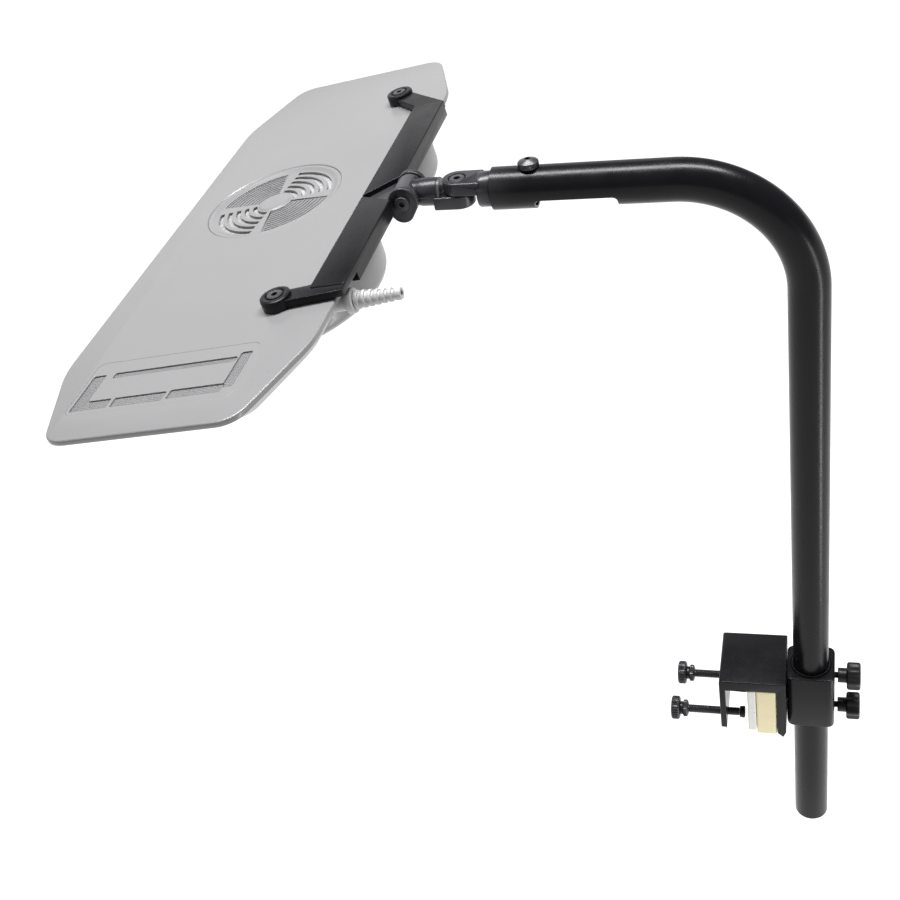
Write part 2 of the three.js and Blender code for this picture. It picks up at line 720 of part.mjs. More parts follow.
function fanRotor() {
  const hub = rodZ(14, fanBottom + 2, fanTop - 1, 0, 0, 28);
  const blades = [];
  for (let i = 0; i < 7; i += 1) {
    const blade = new THREE.BoxGeometry(27, 12, 1.2).rotateX(0.5).translate(25.5, 0, (fanBottom + fanTop) / 2 + 0.5);
    blades.push(blade.rotateZ((i / 7) * Math.PI * 2));
  }
  return join(hub, ...blades).translate(fanCentre.x, fanCentre.y, 0);
}

function ventInsert() {
  const { halfX, halfY } = ventBox;
  const plate = slab(rectangle(halfX, halfY, 6), -3, -0.4);
  const slots = [
    block(-halfX + 16, halfX - 10, halfY - 9.5, halfY - 5, -4, 0),
    block(halfX - 9, halfX - 4.5, -halfY + 9, halfY - 4, -4, 0),
    block(-halfX + 9, -halfX + 34, -halfY + 5, -halfY + 9.5, -4, 0),
    block(-halfX + 38, halfX - 36, -halfY + 5, -halfY + 9.5, -4, 0),
    block(halfX - 32, halfX - 12, -halfY + 5, -halfY + 9.5, -4, 0),
    block(-halfX + 4.5, -halfX + 9, -halfY + 12, halfY - 9, -4, 0),
  ];
  return cut(plate, ...slots).translate(ventBox.x, ventBox.y, 0);
}

function heatSink() {
  const base = rodZ(50, -26, -22.5, 0, 0, 40);
  const fins = [];
  for (let i = -4; i <= 4; i += 1) {
    const half = Math.sqrt(48 ** 2 - (i * 10) ** 2);
    fins.push(block(i * 10 - 1, i * 10 + 1, -half, half, -23, -16));
  }
  return join(base, ...fins);
}

function ledBoard() {
  return join(rodZ(27, -28, -26.3, 0, 0, 32), rodZ(13, -29, -27.5, 0, 0, 24));
}

function lensBezel() {
  return turned([
    [31, lampBottom - 0.8],
    [lensRadius - 0.2, lampBottom - 0.8],
    [lensRadius - 0.2, lampBottom + 5],
    [32.5, lampBottom + 5],
    [32.5, lampBottom + 2],
    [31, lampBottom + 1.4],
    [31, lampBottom - 0.8],
  ], 32);
}

function lampLens() {
  return turned([
    [0, lampBottom + 1.2],
    [20, lampBottom + 1.6],
    [30, lampBottom + 2.3],
    [32, lampBottom + 2.6],
    [32, lampBottom + 4.6],
    [0, lampBottom + 4.2],
  ], 40);
}

function cableGland() {
  const wall = panelHalfWidth - 2;
  return turnedX([
    [3.2, wall - 12],
    [5.2, wall - 12],
    [5.2, wall + 0.8],
    [7.4, wall + 0.8],
    [7.4, wall + 5],
    [3.2, wall + 5],
    [3.2, wall - 12],
  ], 20).translate(0, glandSpot.y, glandSpot.z);
}

// the ribbed sleeve that stops the lead bending sharply where it leaves the gland
function strainRelief() {
  const start = panelHalfWidth + 3.4;
  const profile = [[1.9, start], [5.4, start]];
  const ribs = 6;
  for (let i = 0; i < ribs; i += 1) {
    const x = start + 2.2 + i * 4;
    const r = 5.4 - i * 0.28;
    profile.push([r, x], [r - 1.2, x + 0.5], [r - 1.2, x + 2], [r - 0.2, x + 2.5]);
  }
  profile.push([3.7, start + 28], [1.9, start + 28], [1.9, start]);
  return turnedX(profile, 12).translate(0, glandSpot.y, glandSpot.z);
}

const panel = new THREE.Group();
panel.position.set(-panelOffset, 0, -panelDrop);
head.add(panel);
add(panel, 'light_top_shell', topShell(), paleShell);
add(panel, 'light_bottom_shell', bottomShell(), paleShell);
add(panel, 'lamp_housing', lampHousing(), paleShell);
add(panel, 'fan_grille', fanGrille(), paleShell);
add(panel, 'fan_frame', fanFrame(), blackPlastic);
add(panel, 'fan_rotor', fanRotor(), blackPlastic);
add(panel, 'vent_insert', ventInsert(), greyPlastic);
for (const [side, centre] of Object.entries(lampCentres)) {
  const lamp = new THREE.Group();
  lamp.position.set(centre.x, centre.y, 0);
  add(lamp, `heat_sink_${side}`, heatSink(), aluminium);
  add(lamp, `led_board_${side}`, ledBoard(), boardGreen);
  add(lamp, `lens_bezel_${side}`, lensBezel(), greyPlastic);
  add(lamp, `lamp_lens_${side}`, lampLens(), lensClear);
  panel.add(lamp);
}
add(panel, 'control_board', block(-40, 40, -190, -130, -14, -12.4), boardGreen);
add(panel, 'cable_gland', cableGland(), greyPlastic);
add(panel, 'strain_relief', strainRelief(), greyPlastic);
casePostSpots.forEach(([x, y], i) => {
  add(panel, `case_screw_${i + 1}`, join(
    rodZ(3, trayBottom - 1.8, trayBottom - GAP, x, y, 16),
    rodZ(1.5, trayBottom - 1, -6, x, y, 12),
  ), blackSteel);
});

// ---------- whole object ----------
const lightArm = new THREE.Group();
lightArm.add(clamp, mast, knuckle, head);
export default lightArm;
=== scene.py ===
import json
import math

import bmesh
import bpy
from mathutils import Matrix, Vector


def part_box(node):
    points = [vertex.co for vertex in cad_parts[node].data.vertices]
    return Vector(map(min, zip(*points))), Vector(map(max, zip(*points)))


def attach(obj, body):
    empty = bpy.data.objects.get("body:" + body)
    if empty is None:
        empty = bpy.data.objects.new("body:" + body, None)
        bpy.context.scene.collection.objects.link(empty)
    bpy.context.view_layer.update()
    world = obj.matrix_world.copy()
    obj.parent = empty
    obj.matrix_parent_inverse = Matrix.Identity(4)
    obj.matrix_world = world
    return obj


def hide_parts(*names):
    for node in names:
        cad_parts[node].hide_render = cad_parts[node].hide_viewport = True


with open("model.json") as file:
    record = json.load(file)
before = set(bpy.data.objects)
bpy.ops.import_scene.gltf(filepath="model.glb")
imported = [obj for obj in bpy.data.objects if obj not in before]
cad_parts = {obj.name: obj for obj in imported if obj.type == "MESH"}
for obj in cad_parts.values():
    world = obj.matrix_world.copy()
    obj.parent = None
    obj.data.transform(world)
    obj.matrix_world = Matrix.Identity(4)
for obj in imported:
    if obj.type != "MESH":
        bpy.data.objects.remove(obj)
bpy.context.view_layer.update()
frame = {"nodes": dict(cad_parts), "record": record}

# ---------- dimensions in millimetres, as the CAD has them ----------
MM = 0.001
GAP = 0.3
JAW_HALF = 7.9
LEFT_OUTER = -12.4
WALL_INNER = 29.4
WALL_OUTER = 35.9
PLATE_TOP = 10.0
CLAMP_HALF = 25.3
TUBE_R = 12.7
TUBE_BORE = 11.1
MAST_FOOT = -166.0
ARM_Z = 410.0
BEND_R = 75.0
SLEEVE_HALF = 17.2
SLEEVE_TOP = 8.0
SLEEVE_FOOT = -44.0
BORE_R = 14.3
HEAD_TILT = math.radians(7.75)
PANEL_OFFSET = Vector((-91.7, 0, -0.7))
RIM_DEPTH = 3.4
TRAY_FOOT = -20.0
LAMP_R = 69.0
LAMP_FOOT = -34.0
HOUSING_TOP = -7.0
SHELL_WALL = 2.2
LAMPS = {"near": (10, -49), "far": (10, 83)}
LENS_R = 36.0
FAN = Vector((-12, 28, 0))
GRILLE_R = 46.5
VENT = Vector((-5, -173, 0))
VENT_HALF = (52, 24)
GLAND = Vector((0, -100, -11.2))
BOLT_Y = 12.6
BOLT_Z = -18
RIM_SCREW_Y = 18
RIM_SCREW_Z = -31
LOCK_DROPS = (3, 36)
PIN_BORE = 3.2
SCREW_BORE = 1.8
TUBE_SIDES = 72
POSTS = [(-50, -138), (50, -138), (-46, 170), (46, 170)]


def middle(node):
    low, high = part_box(node)
    return (Vector(low) + Vector(high)) / 2


MAST_X = middle("mast_end_plug").x / MM
TUBE_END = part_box("mast_tube")[0][0] / MM
YAW_X = middle("yaw_screw").x / MM
TILT = middle("tilt_screw") / MM
TOP_SCREW_X = middle("shank_lock_screw").x / MM

WORLD = Matrix.Identity(4)
UPRIGHT = Matrix.Rotation(math.radians(90), 4, "X")
ALONG_X = Matrix.Rotation(math.radians(90), 4, "Y")
ALONG_Y = Matrix.Rotation(math.radians(-90), 4, "X")
HEAD = Matrix.Translation((TILT.x, 0, TILT.z)) @ Matrix.Rotation(-HEAD_TILT, 4, "Y")
PANEL = HEAD @ Matrix.Translation(PANEL_OFFSET)
MAST = Matrix.Translation((MAST_X, 0, 0))
KNUCKLE = Matrix.Translation((YAW_X, 0, ARM_Z))


def at(x, y, z=0.0):
    return Matrix.Translation((x, y, z))


# ---------- outlines ----------
def circle(radius, sides=48, x=0.0, y=0.0):
    turns = [2 * math.pi * i / sides for i in range(sides)]
    return [(x + radius * math.cos(t), y + radius * math.sin(t)) for t in turns]


def arc(radius, start, end, steps, x=0.0, y=0.0):
    turns = [start + (end - start) * i / steps for i in range(steps + 1)]
    return [(x + radius * math.cos(t), y + radius * math.sin(t)) for t in turns]


def eased(corners, reach, steps=6):
    """The closed outline through the corners, each one rounded off from reach before it to reach after it."""
    points = []
    for i, corner in enumerate(corners):
        here = Vector(corner[:2])
        before = Vector(corners[i - 1][:2])
        after = Vector(corners[(i + 1) % len(corners)][:2])
        far = corner[2] if len(corner) > 2 else reach
        start = here + (before - here).normalized() * far
        end = here + (after - here).normalized() * far
        for k in range(steps + 1):
            t = k / steps
            spot = start * (1 - t) ** 2 + here * 2 * t * (1 - t) + end * t**2
            points.append((spot.x, spot.y))
    return points


def hull_of_rounds(rounds, sides=56):
    """The outline drawn tight round some circles, each given as x, y and radius."""
    points = []
    for i in range(sides):
        way = Vector((math.cos(2 * math.pi * i / sides), math.sin(2 * math.pi * i / sides)))
        x, y, radius = max(rounds, key=lambda c: c[0] * way.x + c[1] * way.y + c[2])
        points.append((x + radius * way.x, y + radius * way.y))
    return points


def rectangle(half_x, half_y, reach, x=0.0, y=0.0, steps=6):
    corners = [(-half_x, -half_y), (half_x, -half_y), (half_x, half_y), (-half_x, half_y)]
    return [(px + x, py + y) for px, py in eased(corners, reach, steps)]


def panel_outline(inset, steps=10):
    wide, long = 80 - inset, 220 - inset
    short, deep = 22.5 - inset * 0.35, 67 - inset * 0.35
    return eased(
        [
            (-wide, -long + deep),
            (-wide + short, -long),
            (wide - short, -long),
            (wide, -long + deep),
            (wide, long - deep),
            (wide - short, long),
            (-wide + short, long),
            (-wide, long - deep),
        ],
        12,
        steps,
    )


# ---------- forms: each returns a bmesh in millimetres ----------
def prism(outline, z0, z1):
    bm = bmesh.new()
    low = [bm.verts.new((x, y, z0)) for x, y in outline]
    high = [bm.verts.new((x, y, z1)) for x, y in outline]
    bm.faces.new(list(reversed(low)))
    bm.faces.new(high)
    for i in range(len(outline)):
        j = (i + 1) % len(outline)
        bm.faces.new((low[i], low[j], high[j], high[i]))
    return bm


def box(x0, x1, y0, y1, z0, z1):
    return prism([(x0, y0), (x1, y0), (x1, y1), (x0, y1)], z0, z1)


def spun(profile, sides=64, wave=None):
    """A form turned about Z from (radius, z) pairs. A wave(radius, z, turn) may change the radius."""
    bm = bmesh.new()
    closed = profile[0] == profile[-1]
    rings = []
    for radius, z in profile[:-1] if closed else profile:
        if radius < 1e-6:
            rings.append([bm.verts.new((0, 0, z))])
            continue
        ring = []
        for i in range(sides):
            turn = 2 * math.pi * i / sides
            r = wave(radius, z, turn) if wave else radius
            ring.append(bm.verts.new((r * math.cos(turn), r * math.sin(turn), z)))
        rings.append(ring)
    pairs = list(zip(rings, rings[1:]))
    if closed:
        pairs.append((rings[-1], rings[0]))
    for a, b in pairs:
        for i in range(sides):
            j = (i + 1) % sides
            if len(a) == 1 and len(b) == 1:
                continue
            if len(a) == 1:
                bm.faces.new((a[0], b[j], b[i]))
            elif len(b) == 1:
                bm.faces.new((a[i], a[j], b[0]))
            else:
                bm.faces.new((a[i], a[j], b[j], b[i]))
    return bm


def loft(sections):
    """A closed form through outlines with equal point counts, each given with its height."""
    bm = bmesh.new()
    rings = [[bm.verts.new((x, y, z)) for x, y in outline] for outline, z in sections]
    bm.faces.new(list(reversed(rings[0])))
    bm.faces.new(rings[-1])
    for a, b in zip(rings, rings[1:]):
        for i in range(len(a)):
            j = (i + 1) % len(a)
            bm.faces.new((a[i], a[j], b[j], b[i]))
    return bm


def threaded(radius, z0, z1, pitch=1.27, depth=0.55, sides=40):
    """A rod with a real helical thread along Z, its ends tapering to the root."""
    per_turn = 6
    steps = int((z1 - z0) / pitch * per_turn)
    bm = bmesh.new()
    rings = []
    for k in range(steps + 1):
        z = z0 + (z1 - z0) * k / steps
        fade = min(1.0, (z - z0) / pitch, (z1 - z) / pitch)
        ring = []
        for i in range(sides):
            place = (z / pitch - i / sides) % 1.0
            crest = max(0.0, 1 - abs(place - 0.5) * 2.4)
            r = radius - depth + depth * crest * fade
            turn = 2 * math.pi * i / sides
            ring.append(bm.verts.new((r * math.cos(turn), r * math.sin(turn), z)))
        rings.append(ring)
    for a, b in zip(rings, rings[1:]):
        for i in range(sides):
            j = (i + 1) % sides
            bm.faces.new((a[i], a[j], b[j], b[i]))
    bm.faces.new(list(reversed(rings[0])))
    bm.faces.new(rings[-1])
    return bm


def swept(line, section):
    """An open tube wall: a ring section carried along a line of (place, side, up) frames, and its rings."""
    bm = bmesh.new()
    rings = []
    for spot, side, up in line:
        rings.append([bm.verts.new(spot + side * u + up * v) for u, v in section])
    for a, b in zip(rings, rings[1:]):
        for i in range(len(section)):
            j = (i + 1) % len(section)
            bm.faces.new((a[i], a[j], b[j], b[i]))
    return bm, rings


# ---------- turning forms into pieces ----------
def raw(bm, place=WORLD, name="form"):
    bmesh.ops.recalc_face_normals(bm, faces=bm.faces)
    bmesh.ops.triangulate(bm, faces=[f for f in bm.faces if len(f.verts) > 8], ngon_method="EAR_CLIP")
    mesh = bpy.data.meshes.new(name)
    bm.to_mesh(mesh)
    bm.free()
    mesh.transform(place)
    obj = bpy.data.objects.new(name, mesh)
    bpy.context.scene.collection.objects.link(obj)
    return obj


def combine(base, others, operation):
    for other in others:
        modifier = base.modifiers.new("shape", "BOOLEAN")
        modifier.operation = operation
        modifier.solver = "MANIFOLD"
        modifier.object = other
    depsgraph = bpy.context.evaluated_depsgraph_get()
    mesh = bpy.data.meshes.new_from_object(base.evaluated_get(depsgraph))
    base.modifiers.clear()
    base.data = mesh
    for other in others:
        bpy.data.objects.remove(other)
    return base


def soften(obj, width, segments=3, angle=32):
    """Rounds a simple form's edges before it is joined to others."""
    bevel = obj.modifiers.new("edges", "BEVEL")
    bevel.width = width
    bevel.segments = segments
    bevel.limit_method = "ANGLE"
    bevel.angle_limit = math.radians(angle)
    bevel.use_clamp_overlap = False
    return combine(obj, [], "UNION")


def bundle(forms):
    """Many small forms in one piece."""
    whole = bmesh.new()
    for form in forms:
        mesh = bpy.data.meshes.new("form")
        bmesh.ops.recalc_face_normals(form, faces=form.faces)
        form.to_mesh(mesh)
        form.free()
        whole.from_mesh(mesh)
        bpy.data.meshes.remove(mesh)
    return raw(whole)


def carve(base, *tools):
    return combine(base, tools, "DIFFERENCE")


def weld(base, *others):
    return combine(base, others, "UNION")


def dress(obj, name, body, slot, nodes=(), soft=0.0, segments=2, sharp=32, place=WORLD):
    """Scales a form to metres, rounds its edges, gives it its material and puts it on its body."""
    obj.name = name
    mesh = obj.data
    mesh.name = name
    mesh.transform(place)
    mesh.transform(Matrix.Scale(MM, 4))
    mesh.materials.clear()
    mesh.materials.append(LOOKS[slot])
    for face in mesh.polygons:
        face.use_smooth = True
        face.material_index = 0
    mesh.set_sharp_from_angle(angle=math.radians(sharp))
    if soft:
        bevel = obj.modifiers.new("edges", "BEVEL")
        bevel.width = soft * MM
        bevel.segments = segments
        bevel.limit_method = "ANGLE"
        bevel.angle_limit = math.radians(sharp)
        bevel.use_clamp_overlap = False
        bevel.harden_normals = True
    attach(obj, body)
    if nodes:
        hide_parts(*nodes)
    return obj


# ---------- materials ----------
def nodes_of(name):
    look = bpy.data.materials.new(name)
    look.use_nodes = True
    tree = look.node_tree
    shader = next(n for n in tree.nodes if n.type == "BSDF_PRINCIPLED")
    return look, tree, shader


def noise(tree, coords, scale, detail=3.0, rough=0.55, stretch=None):
    source = coords
    if stretch:
        mapping = tree.nodes.new("ShaderNodeMapping")
        mapping.inputs["Scale"].default_value = stretch
        tree.links.new(coords, mapping.inputs["Vector"])
        source = mapping.outputs["Vector"]
    node = tree.nodes.new("ShaderNodeTexNoise")
    node.inputs["Scale"].default_value = scale
    node.inputs["Detail"].default_value = detail
    node.inputs["Roughness"].default_value = rough
    tree.links.new(source, node.inputs["Vector"])
    return node.outputs["Fac"]


def spread(tree, value, low, high, start=0.3, end=0.7):
    node = tree.nodes.new("ShaderNodeMapRange")
    node.inputs["From Min"].default_value = start
    node.inputs["From Max"].default_value = end
    node.inputs["To Min"].default_value = low
    node.inputs["To Max"].default_value = high
    tree.links.new(value, node.inputs["Value"])
    return node.outputs["Result"]


def blend_colours(tree, factor, first, second):
    node = tree.nodes.new("ShaderNodeMix")
    node.data_type = "RGBA"
    node.inputs["A"].default_value = (*first, 1)
    node.inputs["B"].default_value = (*second, 1)
    tree.links.new(factor, node.inputs["Factor"])
    return node.outputs["Result"]


def bump(tree, height, distance, strength=1.0, under=None):
    node = tree.nodes.new("ShaderNodeBump")
    node.inputs["Distance"].default_value = distance
    node.inputs["Strength"].default_value = strength
    tree.links.new(height, node.inputs["Height"])
    if under is not None:
        tree.links.new(under, node.inputs["Normal"])
    return node.outputs["Normal"]


def look(name, colour, roughness, grain=700, grain_depth=0.00002, peel=0.0, mottle=35, vary=0.08,
         rough_vary=0.05, wear=0.0, wear_colour=(0.2, 0.2, 0.21), brushed=None, **shader_values):
    """One finish: mottled colour, uneven gloss and grain. Orange peel, wear and brush marks are optional."""
    made, tree, shader = nodes_of(name)
    coords = tree.nodes.new("ShaderNodeTexCoord").outputs["Object"]
    patches = noise(tree, coords, mottle, 4.0)
    darker = tuple(c * (1 - vary) for c in colour)
    lighter = tuple(min(1.0, c * (1 + vary)) for c in colour)
    tint = blend_colours(tree, spread(tree, patches, 0.0, 1.0), darker, lighter)
    if wear:
        edges = tree.nodes.new("ShaderNodeNewGeometry").outputs["Pointiness"]
        worn = spread(tree, edges, 0.0, wear, 0.515, 0.6)
        mix = tree.nodes.new("ShaderNodeMix")
        mix.data_type = "RGBA"
        mix.inputs["B"].default_value = (*wear_colour, 1)
        tree.links.new(worn, mix.inputs["Factor"])
        tree.links.new(tint, mix.inputs["A"])
        tint = mix.outputs["Result"]
    tree.links.new(tint, shader.inputs["Base Color"])
    fine = noise(tree, coords, grain, 2.0, 0.6, brushed)
    uneven = noise(tree, coords, mottle * 2.5, 3.0)
    gloss = spread(tree, uneven, roughness - rough_vary, roughness + rough_vary)
    tree.links.new(gloss, shader.inputs["Roughness"])
    normal = bump(tree, fine, grain_depth)
    if peel:
        normal = bump(tree, noise(tree, coords, grain * 0.3, 1.0, 0.4), peel, 1.0, normal)
    tree.links.new(normal, shader.inputs["Normal"])
    for key, value in shader_values.items():
        shader.inputs[key.replace("_", " ")].default_value = value
    return made


LOOKS = {
    "black_powder": look(
        "black_powder", (0.004, 0.004, 0.0052), 0.27, grain=1500, grain_depth=0.000012,
        peel=0.00002, mottle=40, vary=0.12, rough_vary=0.04, wear=0.35,
        wear_colour=(0.04, 0.04, 0.045), Specular_IOR_Level=0.17,
    ),
    "black_steel": look(
        "black_steel", (0.014, 0.014, 0.017), 0.3, grain=900, grain_depth=0.000012, mottle=60,
        vary=0.15, rough_vary=0.06, wear=0.5, wear_colour=(0.14, 0.14, 0.15), Metallic=0.2,
        Specular_IOR_Level=0.35,
    ),
    "black_plastic": look(
        "black_plastic", (0.008, 0.008, 0.009), 0.42, grain=1800, grain_depth=0.00002, mottle=50,
        vary=0.1, rough_vary=0.05, Specular_IOR_Level=0.3,
    ),
    "cream_rubber": look(
        "cream_rubber", (0.83, 0.75, 0.48), 0.62, grain=1200, grain_depth=0.00003, peel=0.00003,
        mottle=90, vary=0.04, rough_vary=0.06, Subsurface_Weight=0.15, Subsurface_Scale=0.002,
    ),
    "clear_rubber": look(
        "clear_rubber", (0.95, 0.94, 0.90), 0.34, grain=600, grain_depth=0.00002, mottle=120,
        vary=0.03, rough_vary=0.08, Transmission_Weight=0.25, IOR=1.42,
    ),
    "nylon": look(
        "nylon", (0.62, 0.60, 0.54), 0.42, grain=900, grain_depth=0.00001, mottle=80, vary=0.05,
    ),
    "pale_shell": look(
        "pale_shell", (0.166, 0.166, 0.169), 0.34, grain=1300, grain_depth=0.000008, peel=0.00001,
        mottle=9, vary=0.025, rough_vary=0.03, Coat_Weight=0.15, Coat_Roughness=0.12,
    ),
    # pale_recess is the pale shell grey made darker for the floors and ribs of sunk strips and quarters:
    # painted shade in the recesses.
    "pale_recess": look(
        "pale_recess", (0.140, 0.140, 0.143), 0.5, grain=1300, grain_depth=0.00001, mottle=60,
        vary=0.06, rough_vary=0.04,
    ),
    "grey_plastic": look(
        "grey_plastic", (0.33, 0.33, 0.335), 0.48, grain=1400, grain_depth=0.00002, mottle=60,
        vary=0.05,
    ),
    "aluminium": look(
        "aluminium", (0.66, 0.67, 0.68), 0.32, grain=500, grain_depth=0.00002, mottle=30, vary=0.05,
        rough_vary=0.08, brushed=(1, 12, 1), Metallic=1.0,
    ),
    "circuit_board": look(
        "circuit_board", (0.02, 0.10, 0.05), 0.35, grain=400, grain_depth=0.00003, mottle=220,
        vary=0.35, rough_vary=0.06, Coat_Weight=0.4, Coat_Roughness=0.1,
    ),
    "lens": look(
        "lens", (0.92, 0.95, 0.97), 0.08, grain=350, grain_depth=0.00006, mottle=30, vary=0.01,
        rough_vary=0.03, Transmission_Weight=0.9, IOR=1.49,
    ),
    "dust_mesh": look(
        "dust_mesh", (0.25, 0.25, 0.254), 0.7, grain=900, grain_depth=0.0001, mottle=400, vary=0.3,
    ),
    "relief_grey": look(
        "relief_grey", (0.35, 0.35, 0.353), 0.5, grain=1400, grain_depth=0.00002, mottle=60,
        vary=0.05,
    ),
}

# ---------- camera, light and floor ----------
def build_camera():
    yaw, down, roll = math.radians(-20.98), math.radians(37.17), math.radians(12.46)
    ahead = Vector((math.sin(yaw) * math.cos(down), math.cos(yaw) * math.cos(down), -math.sin(down)))
    level = Vector((math.cos(yaw), -math.sin(yaw), 0))
    below = ahead.cross(level)
    right = level * math.cos(roll) + below * math.sin(roll)
    lower = -level * math.sin(roll) + below * math.cos(roll)
    data = bpy.data.cameras.new("camera")
    data.lens = 51.44
    data.sensor_width = 36
    data.clip_start = 0.01
    camera = bpy.data.objects.new("camera", data)
    turn = Matrix((right, -lower, -ahead)).transposed().to_4x4()
    camera.matrix_world = Matrix.Translation((0.06757, -0.67415, 0.75623)) @ turn
    bpy.context.scene.collection.objects.link(camera)
    bpy.context.scene.camera = camera


def soft_box(name, place, target, size, power):
    data = bpy.data.lights.new(name, "AREA")
    data.shape = "RECTANGLE"
    data.size, data.size_y = size
    data.energy = power
    lamp = bpy.data.objects.new(name, data)
    way = Vector(target) - Vector(place)
    lamp.matrix_world = Matrix.Translation(place) @ way.to_track_quat("-Z", "Y").to_matrix().to_4x4()
    bpy.context.scene.collection.objects.link(lamp)


def build_stage():
    scene = bpy.context.scene
    scene.view_settings.view_transform = "Standard"
    world = bpy.data.worlds.new("studio")
    world.use_nodes = True
    background = next(n for n in world.node_tree.nodes if n.type == "BACKGROUND")
    background.inputs["Color"].default_value = (1, 1, 1, 1)
    background.inputs["Strength"].default_value = 0.22
    scene.world = world
    soft_box("over", (-0.15, 0.22, 1.9), (-0.1, 0, 0.3), (1.8, 0.38), 80)
    soft_box("side", (1.1, -0.48, -0.25), (0.05, 0, 0.1), (0.12, 1.15), 8)
    soft_box("front", (-1.3, -1.3, 1.5), (-0.1, 0, 0.2), (1.4, 1.4), 3)
    soft_box("back", (-1.3, 2.3, 1.2), (-0.3, 0, 0.5), (2.4, 1.2), 6)
    floor_bm = bmesh.new()
    bmesh.ops.create_grid(floor_bm, x_segments=8, y_segments=8, size=30)
    mesh = bpy.data.meshes.new("floor")
    floor_bm.to_mesh(mesh)
    floor_bm.free()
    mesh.transform(Matrix.Translation((0, 0, -0.9)))
    made, tree, shader = nodes_of("floor")
    coords = tree.nodes.new("ShaderNodeTexCoord").outputs["Object"]
    tint = blend_colours(tree, noise(tree, coords, 2.0), (0.34, 0.34, 0.34), (0.36, 0.36, 0.36))
    tree.links.new(tint, shader.inputs["Base Color"])
    shader.inputs["Roughness"].default_value = 0.9
    shader.inputs["Emission Color"].default_value = (1, 1, 1, 1)
    shader.inputs["Emission Strength"].default_value = 0.96
    mesh.materials.append(made)
    floor = bpy.data.objects.new("floor", mesh)
    scene.collection.objects.link(floor)


build_camera()
build_stage()


# ---------- screws ----------
def hexagon(across):
    return circle(across / math.sqrt(3), 6)


def socket_head(radius, z0, z1, across, depth, shank=None, shank_foot=None, knurled=True):
    """A cap screw along Z: rounded head, fine straight knurl, hexagon socket, plain shank."""
    soft = min(0.5, (z1 - z0) * 0.2)

    def knurl(r, z, turn):
        side = r > radius * 0.985 and z0 + soft <= z <= z1 - soft
        return r + (0.10 * math.cos(turn * 36) if side and knurled else 0)

    profile = [(0, z0), (radius - 0.3, z0), (radius, z0 + 0.3)]
    levels = 3
    for i in range(levels + 1):
        profile.append((radius, z0 + soft + (z1 - z0 - 2 * soft) * i / levels))
    profile += [(radius - soft * 0.3, z1 - soft * 0.3), (radius - soft, z1), (0, z1)]
    head = raw(spun(profile, 144 if knurled else 64, knurl))
    tool = raw(prism(hexagon(across), z1 - depth, z1 + 1))
    head = carve(head, tool)
    if shank:
        root = z0 + 0.4
        rod = raw(spun([(0, shank_foot), (shank, shank_foot + 0.3), (shank, root), (0, root)], 32))
        head = weld(head, rod)
    return head


# ---------- rim clamp ----------
def build_clamp():
    side = eased(
        [
            (LEFT_OUTER, -42, 1.2),
            (-JAW_HALF, -42, 1.2),
            (-JAW_HALF, 0, 0.8),
            (JAW_HALF, 0, 0.15),
            (JAW_HALF, 0.6, 0.15),
            (WALL_INNER, 0.6, 0.6),
            (WALL_INNER, -45, 0.8),
            (WALL_INNER + 4.2, -49.5, 1.0),
            (WALL_OUTER, -44, 1.5),
            (WALL_OUTER, PLATE_TOP, 1.0),
            (LEFT_OUTER, PLATE_TOP, 2.4),
        ],
        1.0,
        5,
    )
    body = soften(raw(prism(side, -CLAMP_HALF, CLAMP_HALF), UPRIGHT), 0.7)
    tools = [raw(prism(circle(3.5, 40), -20, -6), at(0, y, RIM_SCREW_Z) @ ALONG_X)
             for y in (-RIM_SCREW_Y, RIM_SCREW_Y)]
    for y in (-BOLT_Y, BOLT_Y):
        tools.append(raw(prism(circle(2.3, 24), 28, 38), at(0, y, BOLT_Z) @ ALONG_X))
        tools.append(raw(prism(circle(3.9, 32), 28, 32.8), at(0, y, BOLT_Z) @ ALONG_X))
    body = carve(body, *tools)
    dress(body, "clamp_body", "clamp", "black_powder", ["clamp_frame"])

    square = rectangle(SLEEVE_HALF, SLEEVE_HALF, 6, steps=10)
    sleeve = soften(raw(prism(square, SLEEVE_FOOT, SLEEVE_TOP)), 0.8)
    bore = raw(
        spun(
            [
                (0, SLEEVE_FOOT - 2),
                (BORE_R + 2, SLEEVE_FOOT - 2),
                (BORE_R, SLEEVE_FOOT + 0.8),
                (BORE_R, SLEEVE_TOP - 0.8),
                (BORE_R + 2, SLEEVE_TOP + 2),
                (0, SLEEVE_TOP + 2),
            ],
            96,
        )
    )
    threads = [raw(prism(circle(2.8, 32), 0, 30), at(0, 0, -drop) @ ALONG_X) for drop in LOCK_DROPS]
    bolts = [raw(prism(circle(2.3, 24), -30, -9), at(0, y, BOLT_Z) @ ALONG_X) for y in (-BOLT_Y, BOLT_Y)]
    sleeve = carve(sleeve, bore, *threads, *bolts)
    dress(sleeve, "sleeve_body", "clamp", "black_powder", ["mast_sleeve"], place=MAST)

    low, high = (Vector(c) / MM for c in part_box("rim_block"))
    wide, deep = (high.x - low.x) / 2, (high.y - low.y) / 2
    block = soften(raw(prism(rectangle(wide, deep, 1.6), low.z, high.z)), 0.9)
    ribs = [
        raw(prism(circle(0.7, 16), -30, 30), at(side * wide, 0, z) @ UPRIGHT)
        for side in (-1, 1)
        for z in (low.z + 9, low.z + 20, low.z + 31)
    ]
    block = carve(block, *ribs)
    dress(block, "rim_cushion", "clamp", "cream_rubber", ["rim_block"], place=at((low.x + high.x) / 2, 0))

    low, high = (Vector(c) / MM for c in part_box("rim_face_pad"))
    wide, deep = (high.x - low.x) / 2, (high.y - low.y) / 2
    pad = soften(raw(prism(rectangle(wide, deep, 1.2), low.z, high.z)), 0.7)
    dress(pad, "face_pad", "clamp", "clear_rubber", ["rim_face_pad"], place=at((low.x + high.x) / 2, 0))


